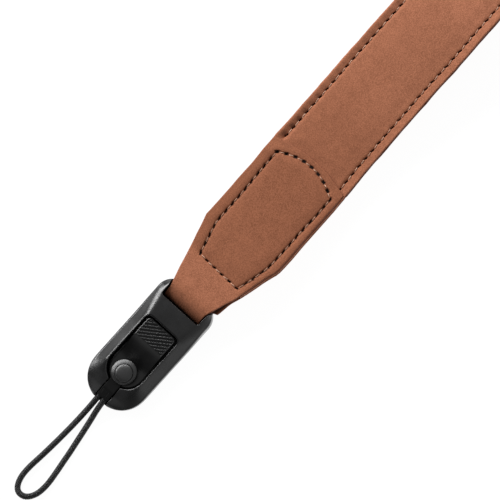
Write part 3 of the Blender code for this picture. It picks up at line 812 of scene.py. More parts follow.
# The release plate is a sprung black moulding in the recess. Its pad has slanting grip ribs inside a low
# border, and a smooth slope runs down from it under the anchor, where it turns on a hidden pin.
PLATE_CLEARANCE = 0.00045
PLATE_SIDE_GAP = 0.00090
PLATE_THICKNESS = 0.0024
PLATE_CORNER = 0.0014
PLATE_FOOT = 0.0020
PLATE_LOW = 0.0032
PLATE_SLOPE = 0.0085
PLATE_VOXEL = 0.00010
PLATE_EASING = 3
PLATE_TRIANGLES = 180000
PAD_LENGTH = 0.0072
RIB_COUNT = 15
RIB_LENGTH = 0.030
RIB_PITCH = 0.00103
RIB_WIDTH = 0.00054
RIB_RISE = 0.00045
RIB_ANGLE = math.radians(35)
RIB_BORDER = 0.00040
RIB_END_GAP = 0.00015
PAD_DEPTH = 0.0003
BORDER_CHAMFER = 0.00030
BORDER_DROP = 0.00018
plate_half = RECESS_WIDTH / 2 - PLATE_SIDE_GAP
plate_start = recess_start + PLATE_CLEARANCE
plate_end = recess_end - PLATE_CLEARANCE
pad_start = plate_end - PAD_LENGTH
pad_top = RIM_HEIGHT - RIB_RISE
pad_foot = pad_top - PLATE_THICKNESS + RIB_RISE
plate_side = [(plate_start, PLATE_FOOT), (pad_start - PLATE_SLOPE, PLATE_FOOT), (pad_start, pad_foot)]
plate_side += [(plate_end, pad_foot), (plate_end, pad_top), (pad_start, pad_top)]
for share in np.linspace(0.0, 1.0, 13)[1:]:
    drop = share * share * (3 - 2 * share)
    plate_side.append((pad_start - share * PLATE_SLOPE, pad_top - drop * (pad_top - PLATE_LOW)))
plate_side.append((plate_start, PLATE_LOW))
plate = sideways("sprung_plate", plate_side, plate_half)
plan = arc((plate_start + plate_half, 0.0), plate_half, 90, 270, 40)
plan += corner_pair(plate_end, plate_half, PLATE_CORNER)
plate = cut(plate, upright("plate_plan", plan, -RIM_HEIGHT, 2 * RIM_HEIGHT), "INTERSECT")

rib_sizes = {
    "Count": RIB_COUNT,
    "Pitch": RIB_PITCH,
    "Width": RIB_WIDTH,
    "Rise": RIB_RISE,
    "Length": RIB_LENGTH,
    "Angle": RIB_ANGLE,
}
grip, size = node_group("grip_ribs", **rib_sizes)
row = grip.geo("MeshLine", Count=size("Count"), Offset=grip.xyz(X=size("Pitch")))
bar = grip.geo("MeshCube", Size=grip.xyz(X=size("Width"), Y=size("Length"), Z=size("Rise") * 2.0))
bars = grip.geo("InstanceOnPoints", Points=row, Instance=bar)
bars = grip.geo("RealizeInstances", Geometry=bars)
half_row = size("Pitch") * (size("Count") - 1.0) * -0.5
bars = grip.geo("Transform", Geometry=bars, Translation=grip.xyz(X=half_row))
bars = grip.geo("Transform", Geometry=bars, Rotation=grip.xyz(Z=size("Angle")))
bars = grip.geo("Transform", Geometry=bars, Translation=((pad_start + plate_end) / 2, 0.0, pad_top))
ribs = grown(new_piece("rib_start", bpy.data.meshes.new("ribs")), grip, bars, **rib_sizes)
pad_half = plate_half - RIB_BORDER - RIB_END_GAP
pad_plan = [(pad_start + RIB_BORDER, -pad_half)]
pad_plan += corner_pair(plate_end - RIB_BORDER - RIB_END_GAP, pad_half, PLATE_CORNER - RIB_BORDER)
pad_plan += [(pad_start + RIB_BORDER, pad_half)]
rib_region = upright("rib_region", pad_plan, pad_top - PAD_DEPTH, pad_top + RIB_RISE)
ribs = cut(new_piece("ribs", ribs), rib_region, "INTERSECT")
border_rings = []
for inset, level in ((0.0, -PAD_DEPTH), (0.0, RIB_RISE - BORDER_DROP), (BORDER_CHAMFER, RIB_RISE)):
    side = plate_half - inset
    corners = corner_pair(plate_end - inset, side, PLATE_CORNER - inset)
    plan = [(pad_start, -side), *corners, (pad_start, side)]
    border_rings.append([(x, y, pad_top + level) for x, y in plan])
border = new_piece("pad_border", rings_mesh("pad_border", border_rings))
hollow = [(pad_start - 0.001, RIB_BORDER - plate_half)]
hollow += corner_pair(plate_end - RIB_BORDER, plate_half - RIB_BORDER, PLATE_CORNER - RIB_BORDER)
hollow += [(pad_start - 0.001, plate_half - RIB_BORDER)]
border = cut(border, upright("border_hollow", hollow, pad_top - 0.001, pad_top + 0.001))


def joined(name, *things):
    """One object of several, whose overlaps the moulding step melts together."""
    shape = bmesh.new()
    for thing in things:
        shape.from_mesh(thing.data)
        bpy.data.objects.remove(thing)
    mesh = bpy.data.meshes.new(name)
    shape.to_mesh(mesh)
    shape.free()
    return new_piece(name, mesh)


plate = joined("sprung_plate", plate, ribs, border)
plate_mesh = evened(moulded("sprung_plate", plate, PLATE_VOXEL, PLATE_EASING, PLATE_TRIANGLES), 3, 0.02)
plate_black = moulded_black(
    "plate_black", (0.002, 0.002, 0.0022), (0.005, 0.005, 0.0053), 0.66, 0.32, 0.000003
)
sprung_plate = new_piece("sprung_plate", plate_mesh, plate_black)
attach(sprung_plate, "plate")
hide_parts("release_plate")


# The anchor is a turned black button with a neck that grips both ends of the cord. A separate low dome is
# pressed into it, and a narrow groove shows between the two.
ANCHOR_RADIUS = 0.00410
ANCHOR_HEIGHT = 0.0026
ANCHOR_FLOOR = 0.0039
ANCHOR_PLACE = 0.0050
BUTTON_EDGE = 0.0004
CAP_RADIUS = 0.00288
CAP_SHIFT = (-0.00018, -0.00022)
CAP_RISE = 0.00086
GROOVE = 0.00014
RING_FALL = 0.00064
RING_BOW = 0.32
CAP_WALL = 0.0001
NECK_VOXEL = 0.00009
NECK_EASING = 4
NECK_TRIANGLES = 20000
NECK_HALF = CHANNEL_WIDTH / 2 - 0.00035
anchor_x = recess_start + ANCHOR_PLACE
crown = ANCHOR_FLOOR + ANCHOR_HEIGHT
ring_foot = crown - RING_FALL


def turned(name, profile, centre_x, sides=96):
    """A profile of radius, height and share of the cap's shift, turned about an upright axis."""
    rings = []
    for radius, height, share in profile:
        centre = centre_x + share * CAP_SHIFT[0], share * CAP_SHIFT[1]
        circle = arc(centre, radius, 0, 360 * (sides - 1) / sides, sides - 1)
        rings.append([(x, y, height) for x, y in circle])
    return rings_mesh(name, rings)


seat = CAP_RADIUS + GROOVE
bowl = [(ANCHOR_RADIUS - BUTTON_EDGE, ANCHOR_FLOOR, 0.0), (ANCHOR_RADIUS, ANCHOR_FLOOR + BUTTON_EDGE, 0.0)]
bowl += [(ANCHOR_RADIUS, ring_foot - 0.00025, 0.0), (ANCHOR_RADIUS - 0.00003, ring_foot - 0.00010, 0.0)]
for share in np.linspace(0.97, 0.0, 18):
    fall = RING_FALL * share * (1 + RING_BOW * (share - 1))
    bowl.append((seat + share * (ANCHOR_RADIUS - seat), crown - fall, 1.0 - share))
bowl.append((seat, crown - 0.0009, 1.0))
anchor_black = moulded_black(
    "anchor_black", (0.006, 0.006, 0.0063), (0.011, 0.011, 0.0115), 0.95, 0.39, 0.0000015
)
button_mesh = turned("anchor_button", bowl, anchor_x)
dome = [(CAP_RADIUS, crown - 0.0007, 1.0), (CAP_RADIUS, crown - CAP_WALL, 1.0)]
for step in np.linspace(0.0, math.pi / 2, 20)[1:-1]:
    dome.append((CAP_RADIUS * math.cos(step), crown - CAP_WALL + CAP_RISE * math.sin(step), 1.0))
dome.append((0.00002, crown - CAP_WALL + CAP_RISE, 1.0))
cap_mesh = turned("anchor_dome", dome, anchor_x)
for mesh in (button_mesh, cap_mesh):
    mesh.shade_smooth()
    mesh.set_sharp_from_angle(angle=math.radians(50))
anchor_button = new_piece("anchor_button", button_mesh, anchor_black)
anchor_dome = new_piece("anchor_dome", cap_mesh, anchor_black)
for piece, node in ((anchor_button, "anchor_base"), (anchor_dome, "anchor_cap")):
    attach(piece, "strap")
    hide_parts(node)

# The neck rises from the housing's nose to the button, between the channel's walls
neck_root = anchor_x - 0.0033
neck_bend = nose + 0.0045
neck_start = nose + 0.0010
neck_side = [(neck_start, 0.0022), (neck_bend, 0.0031), (neck_root, ANCHOR_FLOOR + 0.0001)]
neck_side += [(neck_root, ANCHOR_FLOOR + 0.0013), (neck_bend, 0.0051), (neck_start, 0.0042)]
neck = sideways("anchor_neck", neck_side, NECK_HALF)
neck_mesh = evened(moulded("anchor_neck", neck, NECK_VOXEL, NECK_EASING, NECK_TRIANGLES), 4, 0.02)
# Painted shade: the neck is the button's own plastic, painted near black for the shade inside the channel
neck_black = moulded_black(
    "neck_black", (0.001, 0.001, 0.0011), (0.003, 0.003, 0.0031), 0.20, 0.55, 0.000006
)
anchor_neck = new_piece("anchor_neck", neck_mesh, neck_black)
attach(anchor_neck, "strap")


# The leather tab is one cut of brown nubuck, wrapped round the buckle's bar. Its front flap is pared thin
# at the arched end and lies over the band, its back flap lies under it, and one stitched outline holds both.
TAB_THICKNESS = 0.00138
LEATHER_DRIFT = -0.00072
FREE_LENGTH = 0.0085
JOINT_LENGTH = 0.0456
FLAP_BOW = 0.0026
FLAP_END_THICKNESS = 0.00042
SKIVE_LENGTH = 0.0060
BACK_MARGIN_LEFT = 0.0001
BACK_MARGIN_RIGHT = 0.00005
BACK_CORNER_RIGHT = 0.0014
BACK_MIDDLE = 0.00072
FLAP_MIDDLE = 0.00810
SEAM_LEFT = 0.0036
SEAM_RIGHT = 0.0031
SEAM_FOOT_SKEW = 0.030
SEAM_ARC = 0.00035
SEAM_ARC_DROP = 28.0
SEAM_ARC_MIDDLE = 0.0009
STITCH_PITCH = 0.00325
FLAP_INSET_RIGHT = 0.0002
SIDE_HOLE = (0.00190, 0.00064)
ARCH_HOLE = (0.00150, 0.00112)
FOOT_HOLE = (0.00130, 0.00062)
HOLE_DEPTH = 0.00055
HOLE_SLANT = math.radians(12)
EDGE_ROUND = 0.00032
UNDER_ROUND = 0.00022
GROOVE_DEPTH = 0.00030
GROOVE_HALF = 0.00042
PILLOW_RISE = 0.00020
PILLOW_REACH = 0.0024
STRIP_RISE = 0.00007
STRIP_PLACE = 0.0017
LUMP_HEIGHT = 0.00005
TAB_WAVER = 0.00006
ARCH_REACH = 0.0134
ARCH_EASE = 0.0008
WRAP_GAP = 0.0003
BEND_PALENESS = 0.78
SLOT_SHADE = 0.5
INNER_PAINTED_SHADE = 0.76
joint_start = housing_end + FREE_LENGTH
joint_end = joint_start + JOINT_LENGTH
seam_foot_x = joint_start + 0.0015
seam_arc_x = joint_end + SEAM_ARC


def ease(value, low, high):
    """From 0 at the low value to 1 at the high one, eased."""
    share = np.clip((value - low) / (high - low), 0.0, 1.0)
    return share * share * (3 - 2 * share)


def bell(distance, width):
    """1 at no distance, falling off smoothly over about that width."""
    return np.exp(-((distance / width) ** 2))


def drift(x):
    """The leather lies a little to the right of the housing's middle, from the joint on."""
    return LEATHER_DRIFT * ease(x, housing_end - 0.0020, joint_start + 0.0010)


def leather_half(x):
    """Half the tab's width: the straight taper, and never less than at the bar."""
    return np.maximum(tab_half_width(x), WRAP_HALF)


# How far the leather's edges stand outside the straight taper and the straight sides
EDGE_TRIMS = np.array(
    (
        # place, left, right
        (-0.0688, 0.0, 0.0),
        (-0.0601, 0.00038, -0.00010),
        (-0.0551, 0.00033, -0.00025),
        (-0.0521, 0.00010, -0.00045),
        (-0.0486, 0.00018, -0.00048),
        (-0.0458, 0.00008, -0.00005),
        (-0.0401, 0.00012, 0.0),
        (-0.0351, 0.00017, -0.00020),
        (-0.0251, 0.00026, -0.00028),
        (-0.0201, 0.00055, -0.00032),
        (-0.0146, 0.00070, -0.00045),
    )
)


def trim(x, side):
    """The edge's trim at a place: side 1 is the left one and side 2 the right one."""
    return np.interp(x, EDGE_TRIMS[:, 0], EDGE_TRIMS[:, side])


def waver(along, length, seed):
    """A gentle irregular wave of about that length, between -1 and 1."""
    chance = np.random.default_rng(seed)
    total = 0.0
    for share in (1.0, 0.63, 0.41, 0.27):
        total = total + share * np.sin(math.tau * along / (length * share) + chance.uniform(0, math.tau))
    return total / 2.3


def rounded_edge(distance, radius):
    """How far a surface drops at a distance from its edge."""
    inward = np.clip(distance / radius, 0.0, 1.0)
    return radius * (1 - np.sqrt(1 - (1 - inward) ** 2))


def path_frames(path):
    """Directions along a path in the XZ plane and square to it."""
    run = np.gradient(path, axis=0)
    run /= np.linalg.norm(run, axis=1)[:, None]
    return run, np.column_stack([-run[:, 1], run[:, 0]])


def sheet_mesh(name, path, across, shift, over, under, values):
    """A closed leather sheet: rows along a path, columns across, and a height over and under the path."""
    run, square = path_frames(path)
    rows, columns = across.shape
    sides = []
    for height in (over, -under):
        side = np.empty((rows, columns, 3))
        side[:, :, 0] = path[:, :1] + run[:, :1] * shift + square[:, :1] * height
        side[:, :, 1] = across
        side[:, :, 2] = path[:, 1:] + run[:, 1:] * shift + square[:, 1:] * height
        sides.append(side)
    points = np.concatenate([sides[0], sides[1][:, ::-1]], axis=1)
    ring = 2 * columns
    grid = np.arange(rows * ring).reshape(rows, ring)
    following = np.roll(grid, -1, axis=1)
    faces = np.stack([grid[:-1], following[:-1], following[1:], grid[1:]], axis=-1).reshape(-1, 4)
    ends = []
    for row, order in ((0, 1), (rows - 1, -1)):
        line = grid[row]
        for j in range(columns - 1):
            ends.append([line[j], line[ring - 1 - j], line[ring - 2 - j], line[j + 1]][::order])
    mesh = bpy.data.meshes.new(name)
    flat = points.reshape(-1, 3)
    mesh.from_pydata(flat.tolist(), [], np.concatenate([faces, np.array(ends)]).tolist())
    for key, (upper, lower) in values.items():
        value = np.concatenate([upper, lower[:, ::-1]], axis=1).reshape(-1)
        mesh.attributes.new(key, "FLOAT", "POINT").data.foreach_set("value", value.astype(np.float32))
    shape = bmesh.new()
    shape.from_mesh(mesh)
    if shape.calc_volume(signed=True) < 0:
        bmesh.ops.reverse_faces(shape, faces=shape.faces)
    shape.to_mesh(mesh)
    shape.free()
    mesh.shade_smooth()
    return mesh, points[:, :columns], points[:, columns:][:, ::-1]


def pierced(along, across, holes):
    """How deep each point lies in an awl hole, from 0 to 1."""
    depth = np.zeros(np.broadcast(along, across).shape)
    for place, side, angle, (length, width) in holes:
        near = (along - place) * math.cos(angle) + (across - side) * math.sin(angle)
        off = (across - side) * math.cos(angle) - (along - place) * math.sin(angle)
        inside = 1 - ease(np.abs(near), length * 0.33, length * 0.60)
        depth = np.maximum(depth, inside * (1 - ease(np.abs(off), width * 0.30, width * 0.60)))
    return depth


def evenly(points, count):
    """That many places at an even spacing along a line of plan points, without its last point."""
    points = smooth_curve(points, 12)
    total = np.concatenate([[0.0], np.cumsum(np.linalg.norm(np.diff(points, axis=0), axis=1))])
    wanted = np.linspace(0.0, total[-1], count + 1)[:-1]
    return np.column_stack([np.interp(wanted, total, points[:, i]) for i in (0, 1)])


def line_distance(x, y, line):
    """Distance from each point of a grid to a closed line of plan points."""
    nearest = np.full(x.shape, 1.0)
    for (x1, y1), (x2, y2) in zip(line, np.roll(line, -1, axis=0)):
        length = max((x2 - x1) ** 2 + (y2 - y1) ** 2, 1e-12)
        share = np.clip(((x - x1) * (x2 - x1) + (y - y1) * (y2 - y1)) / length, 0.0, 1.0)
        nearest = np.minimum(nearest, np.hypot(x - x1 - share * (x2 - x1), y - y1 - share * (y2 - y1)))
    return nearest


# The stitched outline in plan, side by side, each with its number of stitches. It was sewn by hand and
# eye, so its lines aren't quite straight.
left_line = [(-0.0581, 0.00710), (-0.0557, 0.00777), (-0.0501, 0.00925), (-0.0473, 0.00990)]
left_line += [(-0.0440, 0.01003), (-0.0361, 0.01007), (-0.0273, 0.01039), (-0.0209, 0.01054)]
left_line += [(-0.0180, 0.01051)]
right_line = [(-0.0182, -0.01234), (-0.0218, -0.01242), (-0.0250, -0.01251), (-0.0315, -0.01226)]
right_line += [(-0.0380, -0.01232), (-0.0448, -0.01229), (-0.0480, -0.01202), (-0.0509, -0.01145)]
right_line += [(-0.0565, -0.01005), (-0.0589, -0.00907)]
arch_places = np.linspace(left_line[-1][1], right_line[0][1], 9)[1:-1]
arch_line = [(seam_arc_x - SEAM_ARC_DROP * (y + SEAM_ARC_MIDDLE) ** 2, y) for y in arch_places]
arch_line = [left_line[-1], *arch_line, right_line[0]]
foot_line = [right_line[-1], (-0.0588, -0.00550), (-0.0588, -0.00253), (-0.0587, 0.00100)]
foot_line += [(-0.0586, 0.00417), left_line[0]]
outline = []
outline_threads = []
outline_holes = []
for line, count, size, share in (
    (left_line, 13, SIDE_HOLE, 0.90),
    (arch_line, 8, ARCH_HOLE, 0.76),
    (right_line, 13, SIDE_HOLE, 0.93),
    (foot_line, 5, FOOT_HOLE, 1.03),
):
    marks = evenly([(x, y, 0.0) for x, y in line], 4 * count)
    outline += list(marks)
    ahead = np.vstack([marks[1:], line[-1]])
    lag = np.vstack([2 * marks[0] - marks[1], marks[:-1]])
    angles = np.arctan2(ahead[:, 1] - lag[:, 1], ahead[:, 0] - lag[:, 0])
    outline_holes += [(x, y, a + HOLE_SLANT, size) for (x, y), a in zip(marks[::4], angles[::4])]
    outline_threads += [(x, y, a, share) for (x, y), a in zip(marks[2::4], angles[2::4])]
outline = np.array(outline)

# Rows of the tab run from the end of the back flap round the bar to the end of the front flap. Rows and
# columns crowd together at the edges and along the seam, where the leather has its finest relief.
HUNDREDTH = 0.00001
LEFT_COLUMNS = (0, 6, 14, 26, 45, 80, 130, 190, 250, 300, 330, 342, 352, 361, 370, 380, 392, 420, 470)
RIGHT_COLUMNS = (0, 6, 14, 26, 45, 80, 130, 190, 240, 268, 282, 294, 304, 314, 324, 336, 360, 400)
MIDDLE_COLUMNS = 70
WRAP_RADIUS = BAR_THICKNESS / 2 + WRAP_GAP + TAB_THICKNESS / 2
bar_x = bar_start + BAR_THICKNESS / 2
low_level = BAR_HEIGHT - WRAP_RADIUS
high_level = BAR_HEIGHT + WRAP_RADIUS
arch_depth = SEAM_ARC_DROP * (FLAP_WIDTH / 2) ** 2
arch_row = seam_arc_x - arch_depth


def flap_rise(x):
    """Height of the leather's middle on its way from the bar to the flap."""
    return high_level + (FLAP_MIDDLE - high_level) * ease(x, housing_end - 0.0015, joint_start + 0.0010)


front_x = list(np.arange(housing_end, joint_start, 0.0005))
front_x += list(np.arange(joint_start, joint_start + 0.0031, 0.00012))
for first_step, stop, step in (
    (0.0003, joint_end - ARCH_REACH, 0.00039),
    (0.00025, arch_row - ARCH_EASE, 0.00025),
    (0.0001, arch_row + ARCH_EASE, 0.0001),
    (0.0003, joint_end - 0.0002, 0.0003),
):
    front_x += list(np.arange(front_x[-1] + first_step, stop, step))
front_x = np.array(front_x + [joint_end - short for short in (0.00013, 0.00006, 0.00002, 0.0)])
back_x = np.arange(joint_end, housing_end, -0.00045)
back_z = low_level + (BACK_MIDDLE - low_level) * ease(back_x, housing_end, joint_start)
straight = np.linspace(housing_end, bar_x, 8)[1:-1]
wrap_turns = np.radians(np.linspace(270, 90, 16))
wrap_x = bar_x + WRAP_RADIUS * np.cos(wrap_turns)
wrap_z = BAR_HEIGHT + WRAP_RADIUS * np.sin(wrap_turns)
tab_path = np.vstack(
    [
        np.column_stack([back_x, back_z]),
        np.column_stack([straight, np.full(len(straight), low_level)]),
        np.column_stack([wrap_x, wrap_z]),
        np.column_stack([straight[::-1], flap_rise(straight[::-1])]),
        np.column_stack([front_x, flap_rise(front_x)]),
    ]
)
front_start = len(tab_path) - len(front_x)
wrap_middle = len(back_x) + len(straight) + len(wrap_turns) // 2
is_front = (np.arange(len(tab_path)) >= wrap_middle)[:, None]
place = tab_path[:, :1]

# The back flap is a little wider than the front one, most of all at its corner by the buckle
corner = 1 - ease(place, housing_end - 0.0015, housing_end + 0.0065)
lower_right = BACK_MARGIN_RIGHT + (BACK_CORNER_RIGHT - BACK_MARGIN_RIGHT) * corner
lower_right = lower_right * ease(place, housing_end - 0.0013, housing_end - 0.0005)
lower_left = BACK_MARGIN_LEFT * ease(place, housing_end, joint_start)
half = leather_half(place)
flap_inset = FLAP_INSET_RIGHT * ease(place, joint_start - 0.0020, joint_start + 0.0010)
left_edge = half + trim(place, 1) + np.where(is_front, 0.0, lower_left) + TAB_WAVER * waver(place, 0.017, 3)
right_edge = half + trim(place, 2) + np.where(is_front, -flap_inset, lower_right)
right_edge = right_edge + TAB_WAVER * waver(place, 0.013, 4)
left_side = np.array(LEFT_COLUMNS) * HUNDREDTH
right_side = np.array(RIGHT_COLUMNS) * HUNDREDTH
inner_left = left_edge - left_side[-1]
inner_right = right_side[-1] - right_edge
middle = inner_left + (inner_right - inner_left) * np.linspace(0.0, 1.0, MIDDLE_COLUMNS + 2)[1:-1]
tab_across = np.hstack([left_edge - left_side, middle, right_side[::-1] - right_edge])

# The rows bend with the arched seam and with the bowed ends of both flaps
arch = arch_depth * ease(place, joint_end - ARCH_REACH, arch_row - ARCH_EASE)
arch = arch + (FLAP_BOW - arch_depth) * ease(place, arch_row + ARCH_EASE, joint_end)
skew = SEAM_FOOT_SKEW * (1 - ease(np.abs(place - seam_foot_x), 0.0014, 0.0060))
bowed = 1 - (tab_across / half) ** 2
back_shift = -FLAP_BOW * ease(place, joint_end - 0.010, joint_end) * bowed
tab_shift = np.where(is_front, arch * bowed + skew * tab_across, back_shift)
tab_shift[wrap_middle - len(wrap_turns) : front_start - 2] = 0.0
from_side = np.minimum(left_edge - tab_across, tab_across + right_edge)
tab_across = tab_across + drift(place)
plan_x = place + np.where(is_front, tab_shift, -tab_shift)
to_seam = line_distance(plan_x, tab_across, outline)
to_end = joint_end + FLAP_BOW * (1 - ((tab_across - drift(place)) / half) ** 2) - plan_x
arch_limit = seam_arc_x - SEAM_ARC_DROP * (tab_across + SEAM_ARC_MIDDLE) ** 2
in_height = (plan_x > seam_foot_x + SEAM_FOOT_SKEW * tab_across) & (plan_x < arch_limit)
in_width = (from_side > np.where(tab_across > 0, SEAM_LEFT, SEAM_RIGHT)) & in_height
on_flap = is_front & (plan_x > joint_start - 0.002)

# The seam sinks into a groove, the field inside it swells, and the margin outside it swells a little
thickness = FLAP_END_THICKNESS + (TAB_THICKNESS - FLAP_END_THICKNESS) * ease(to_end, 0.0, SKIVE_LENGTH)
level = np.where(on_flap, thickness - TAB_THICKNESS / 2, TAB_THICKNESS / 2)
groove = -GROOVE_DEPTH * bell(to_seam, GROOVE_HALF) - GROOVE_DEPTH / 3 * bell(to_seam, 0.0011)
pillow = PILLOW_RISE * (1 - bell(to_seam, PILLOW_REACH))
strip = STRIP_RISE * bell(to_seam - STRIP_PLACE, 0.0008) * ease(plan_x, seam_foot_x - 0.002, seam_foot_x)
lumps = LUMP_HEIGHT * waver(plan_x + 0.7 * tab_across, 0.019, 5)
lumps = lumps * waver(plan_x - 1.3 * tab_across, 0.023, 6)
tab_holes = pierced(plan_x, tab_across, outline_holes)
hole_depth = np.clip(thickness - 0.00058, 0.00012, HOLE_DEPTH)
front_over = level + groove + np.where(in_width, pillow, strip) + lumps - hole_depth * tab_holes
front_over = front_over - np.where(on_flap, np.clip(rounded_edge(to_end, 0.00030), 0.0, 0.00022), 0.0)
back_over = level + groove - GROOVE_DEPTH * tab_holes
tab_over = np.where(is_front, front_over, np.where(place > joint_start - 0.002, back_over, level))
tab_over = tab_over - rounded_edge(from_side, EDGE_ROUND)
tab_under = TAB_THICKNESS / 2 - rounded_edge(from_side, UNDER_ROUND)

# What the leather's colour reads: cut edges; painted shade in the awl holes, inside the buckle and between
# the tab's two runs; and a paler tone over the bend
tab_edge = 1 - ease(from_side, 0.00004, 0.00016)
tab_edge = np.maximum(tab_edge, np.where(on_flap, 1 - ease(to_end, 0.0, 0.0001), 0.0))
plain = np.zeros_like(tab_over)
# The front run is paler over its bend in front of the buckle
bend = plain + BEND_PALENESS * is_front * (1 - ease(np.abs(place - housing_end - 0.0044), 0.0026, 0.0080))
# Painted shade: the front run is painted darker inside the buckle, fading out at the housing's end, for the
# shade in the slot
in_slot = SLOT_SHADE * (1 - ease(place, housing_end - 0.0064, housing_end - 0.0008)) * is_front
# Painted shade: the tab's inner faces, between its two runs up to the joint, are painted dark for the shade
# in the gap between them
inner_painted_shade = INNER_PAINTED_SHADE * ease(from_side, 0.0003, 0.0007) * (1 - ease(place, joint_start, joint_start + 0.002))
tab_mesh, tab_top, _ = sheet_mesh(
    "wrapped_tab",
    tab_path,
    tab_across,
    tab_shift,
    tab_over,
    tab_under,
    {"edge": (tab_edge, tab_edge), "hole": (np.maximum(tab_holes, in_slot), inner_painted_shade), "bend": (bend, plain)},
)


PALENESS_FACTORS = (1.55, 1.62, 1.74)
LEATHER_DEEP = (0.236, 0.083, 0.0400)
LEATHER_PALE = (0.382, 0.142, 0.0735)
# Near black, painted into holes and hollows as painted shade
PAINTED_SHADE_TONE = (0.006, 0.003, 0.002)


def nubuck(name, deep, pale, edge_tone):
    """Brown leather buffed to a soft nap: cloudy tone, fine mottling and dark cut edges. One mark of the
    mesh paints it near black, which is painted shade; another paints it paler, which is painted light along
    the band's upper run and a paler tone at the band's edges and over the tab's bend.
    """
    leather = Finish(name, Specular_IOR_Level=0.16)
    cloud = leather.noise(55.0, 3.0)
    mottle = leather.noise(380.0, 2.0, roughness=0.45)
    nap = leather.noise(3300.0, 2.0, leather.stretched((1.0, 0.75, 1.0)), roughness=0.7)
    pores = leather.node(
        "ShaderNodeTexVoronoi", {"feature": "SMOOTH_F1"}, {"Vector": leather.place, "Scale": 2300.0}
    )
    tone = leather.fit(cloud * 0.13 + mottle * 0.15 + nap * 0.72, 0.36, 0.64)
    colour = leather.blend(tone, deep, pale)
    paled_tone = leather.blend(tone, *([a * b for a, b in zip(plain, PALENESS_FACTORS)] for plain in (deep, pale)))
    # Where the mesh's paler mark says, the leather is painted paler: painted light along the band's upper
    # run, a paler tone at the band's edges and over the tab's bend
    colour = leather.blend(leather.own("bend"), colour, paled_tone)
    colour = leather.blend(leather.own("edge") * 0.85, colour, edge_tone)
    # Painted shade: where the mesh's shade mark says, the leather is painted near black
    colour = leather.blend(leather.own("hole"), colour, PAINTED_SHADE_TONE)
    fine = leather.bump(nap * 0.6 + pores * 0.4, 0.00006, 0.9)
    leather.wear(
        Base_Color=colour,
        Roughness=leather.fit(mottle, 0.3, 0.7, 0.68, 0.82),
        Normal=leather.bump(mottle, 0.00005, 0.6, fine),
    )
    return leather.material


tab_nubuck = nubuck("tab_nubuck", LEATHER_DEEP, LEATHER_PALE, (0.165, 0.050, 0.029))
wrapped_tab = new_piece("wrapped_tab", tab_mesh, tab_nubuck)
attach(wrapped_tab, "strap")
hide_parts("leather_tab")


# The wrist band is a loop of two brown leathers, sewn together near both edges, with its ends in the joint
# between the tab's flaps. The face is the outer one: crowned, with its margins drawn down by the seams.
BAND_WIDTH = 0.0297
LOOP_LENGTH = 0.1294
LOOP_HEIGHT = 0.0200
FACE_THICKNESS = 0.00125
LAYER_GAP = 0.00005
UPPER_BAND_MIDDLE = 0.00595
LOWER_BAND_MIDDLE = 0.00295
LYING_MIDDLE = 0.00135
UPPER_PACKING = 0.00010
LOWER_PACKING = 0.00018
SEAM_INSET = 0.00275
LEFT_SEAM_START = 0.0027
RIGHT_SEAM_START = 0.0009
BAND_HOLE = (0.00160, 0.00052)
MARGIN_LIP = 0.00010
MARGIN_DROP = 0.00036
MARGIN_DROP_NEAR = 0.00032
NEAR_REACH = 0.022
BAND_GAP = 0.0003
FAR_INSET = 0.00175
LOOP_STEPS = 24
HIDDEN_STEP = 0.002
TAPER_INSET = 0.0004
SHOWN_RIGHT = 0.0002
BAND_GROOVE = 0.00014
CUT_WANDER = 0.00009
FINE_WANDER = 0.00004
BAND_CROWN = 0.00034
PUCKER = 0.00010
FINE_STEPS = 8
# Side view of the loop: along it from the joint to the far bend, and its height, both as shares
UPPER_RUN = ((0.10, 0.262), (0.26, 0.36), (0.45, 0.55), (0.64, 0.76), (0.80, 0.93), (0.90, 1.00))
UPPER_RUN += ((0.955, 0.955), (0.988, 0.77), (1.000, 0.48))
LOWER_RUN = ((0.988, 0.19), (0.950, 0.04), (0.890, 0.0), (0.60, 0.0), (0.28, 0.0), (0.12, 0.022))
band_start = joint_end + FLAP_BOW + BAND_GAP
band_reach = joint_end + LOOP_LENGTH - FAR_INSET - band_start
rise = LOOP_HEIGHT - LYING_MIDDLE
loop = [(band_start + a * band_reach, LYING_MIDDLE + h * rise) for a, h in UPPER_RUN + LOWER_RUN]
loop = smooth_curve([(band_start, UPPER_BAND_MIDDLE), *loop, (band_start, LOWER_BAND_MIDDLE)], LOOP_STEPS)
loop = np.vstack([(joint_start, UPPER_BAND_MIDDLE), loop, (joint_start, LOWER_BAND_MIDDLE)])
loop_places = np.concatenate([[0.0], np.cumsum(np.linalg.norm(np.diff(loop, axis=0), axis=1))])
loop_total = loop_places[-1]
seen_from = JOINT_LENGTH - 0.0006
hidden = np.arange(0.0, seen_from, HIDDEN_STEP)
extra_half = (BAND_WIDTH - FLAP_WIDTH) / 2


def band_frame(step):
    """The band's rows, wide in the joint and even round the loop: their places, path, X, the tab's half
    width there, and how far they lie in the loop and in the taper.
    """
    seen = np.arange(seen_from, loop_total - seen_from, step)
    places = np.concatenate([hidden, seen, loop_total - hidden[::-1]])
    path = np.column_stack([np.interp(places, loop_places, loop[:, i]) for i in (0, 1)])
    x = path[:, :1]
    in_loop = ease(x, joint_end - 0.0010, joint_end + 0.0010)
    in_taper = 1 - ease(x, joint_start + 0.0100, joint_start + 0.0130)
    return places[:, None], path, x, tab_half_width(x), in_loop, in_taper


def band_columns(distances, left_edge, right_edge):
    """Places across the band at set distances from both edges, each one's distance from its edge, which lie
    on the left, and where their side's seam starts.
    """
    distances = np.array(distances) * HUNDREDTH
    across = np.hstack([left_edge - distances, distances[::-1] - right_edge])
    from_edge = np.broadcast_to(np.concatenate([distances, distances[::-1]]), across.shape)
    on_left = np.arange(across.shape[1]) < len(distances)
    return across, from_edge, on_left, np.where(on_left, LEFT_SEAM_START, RIGHT_SEAM_START)


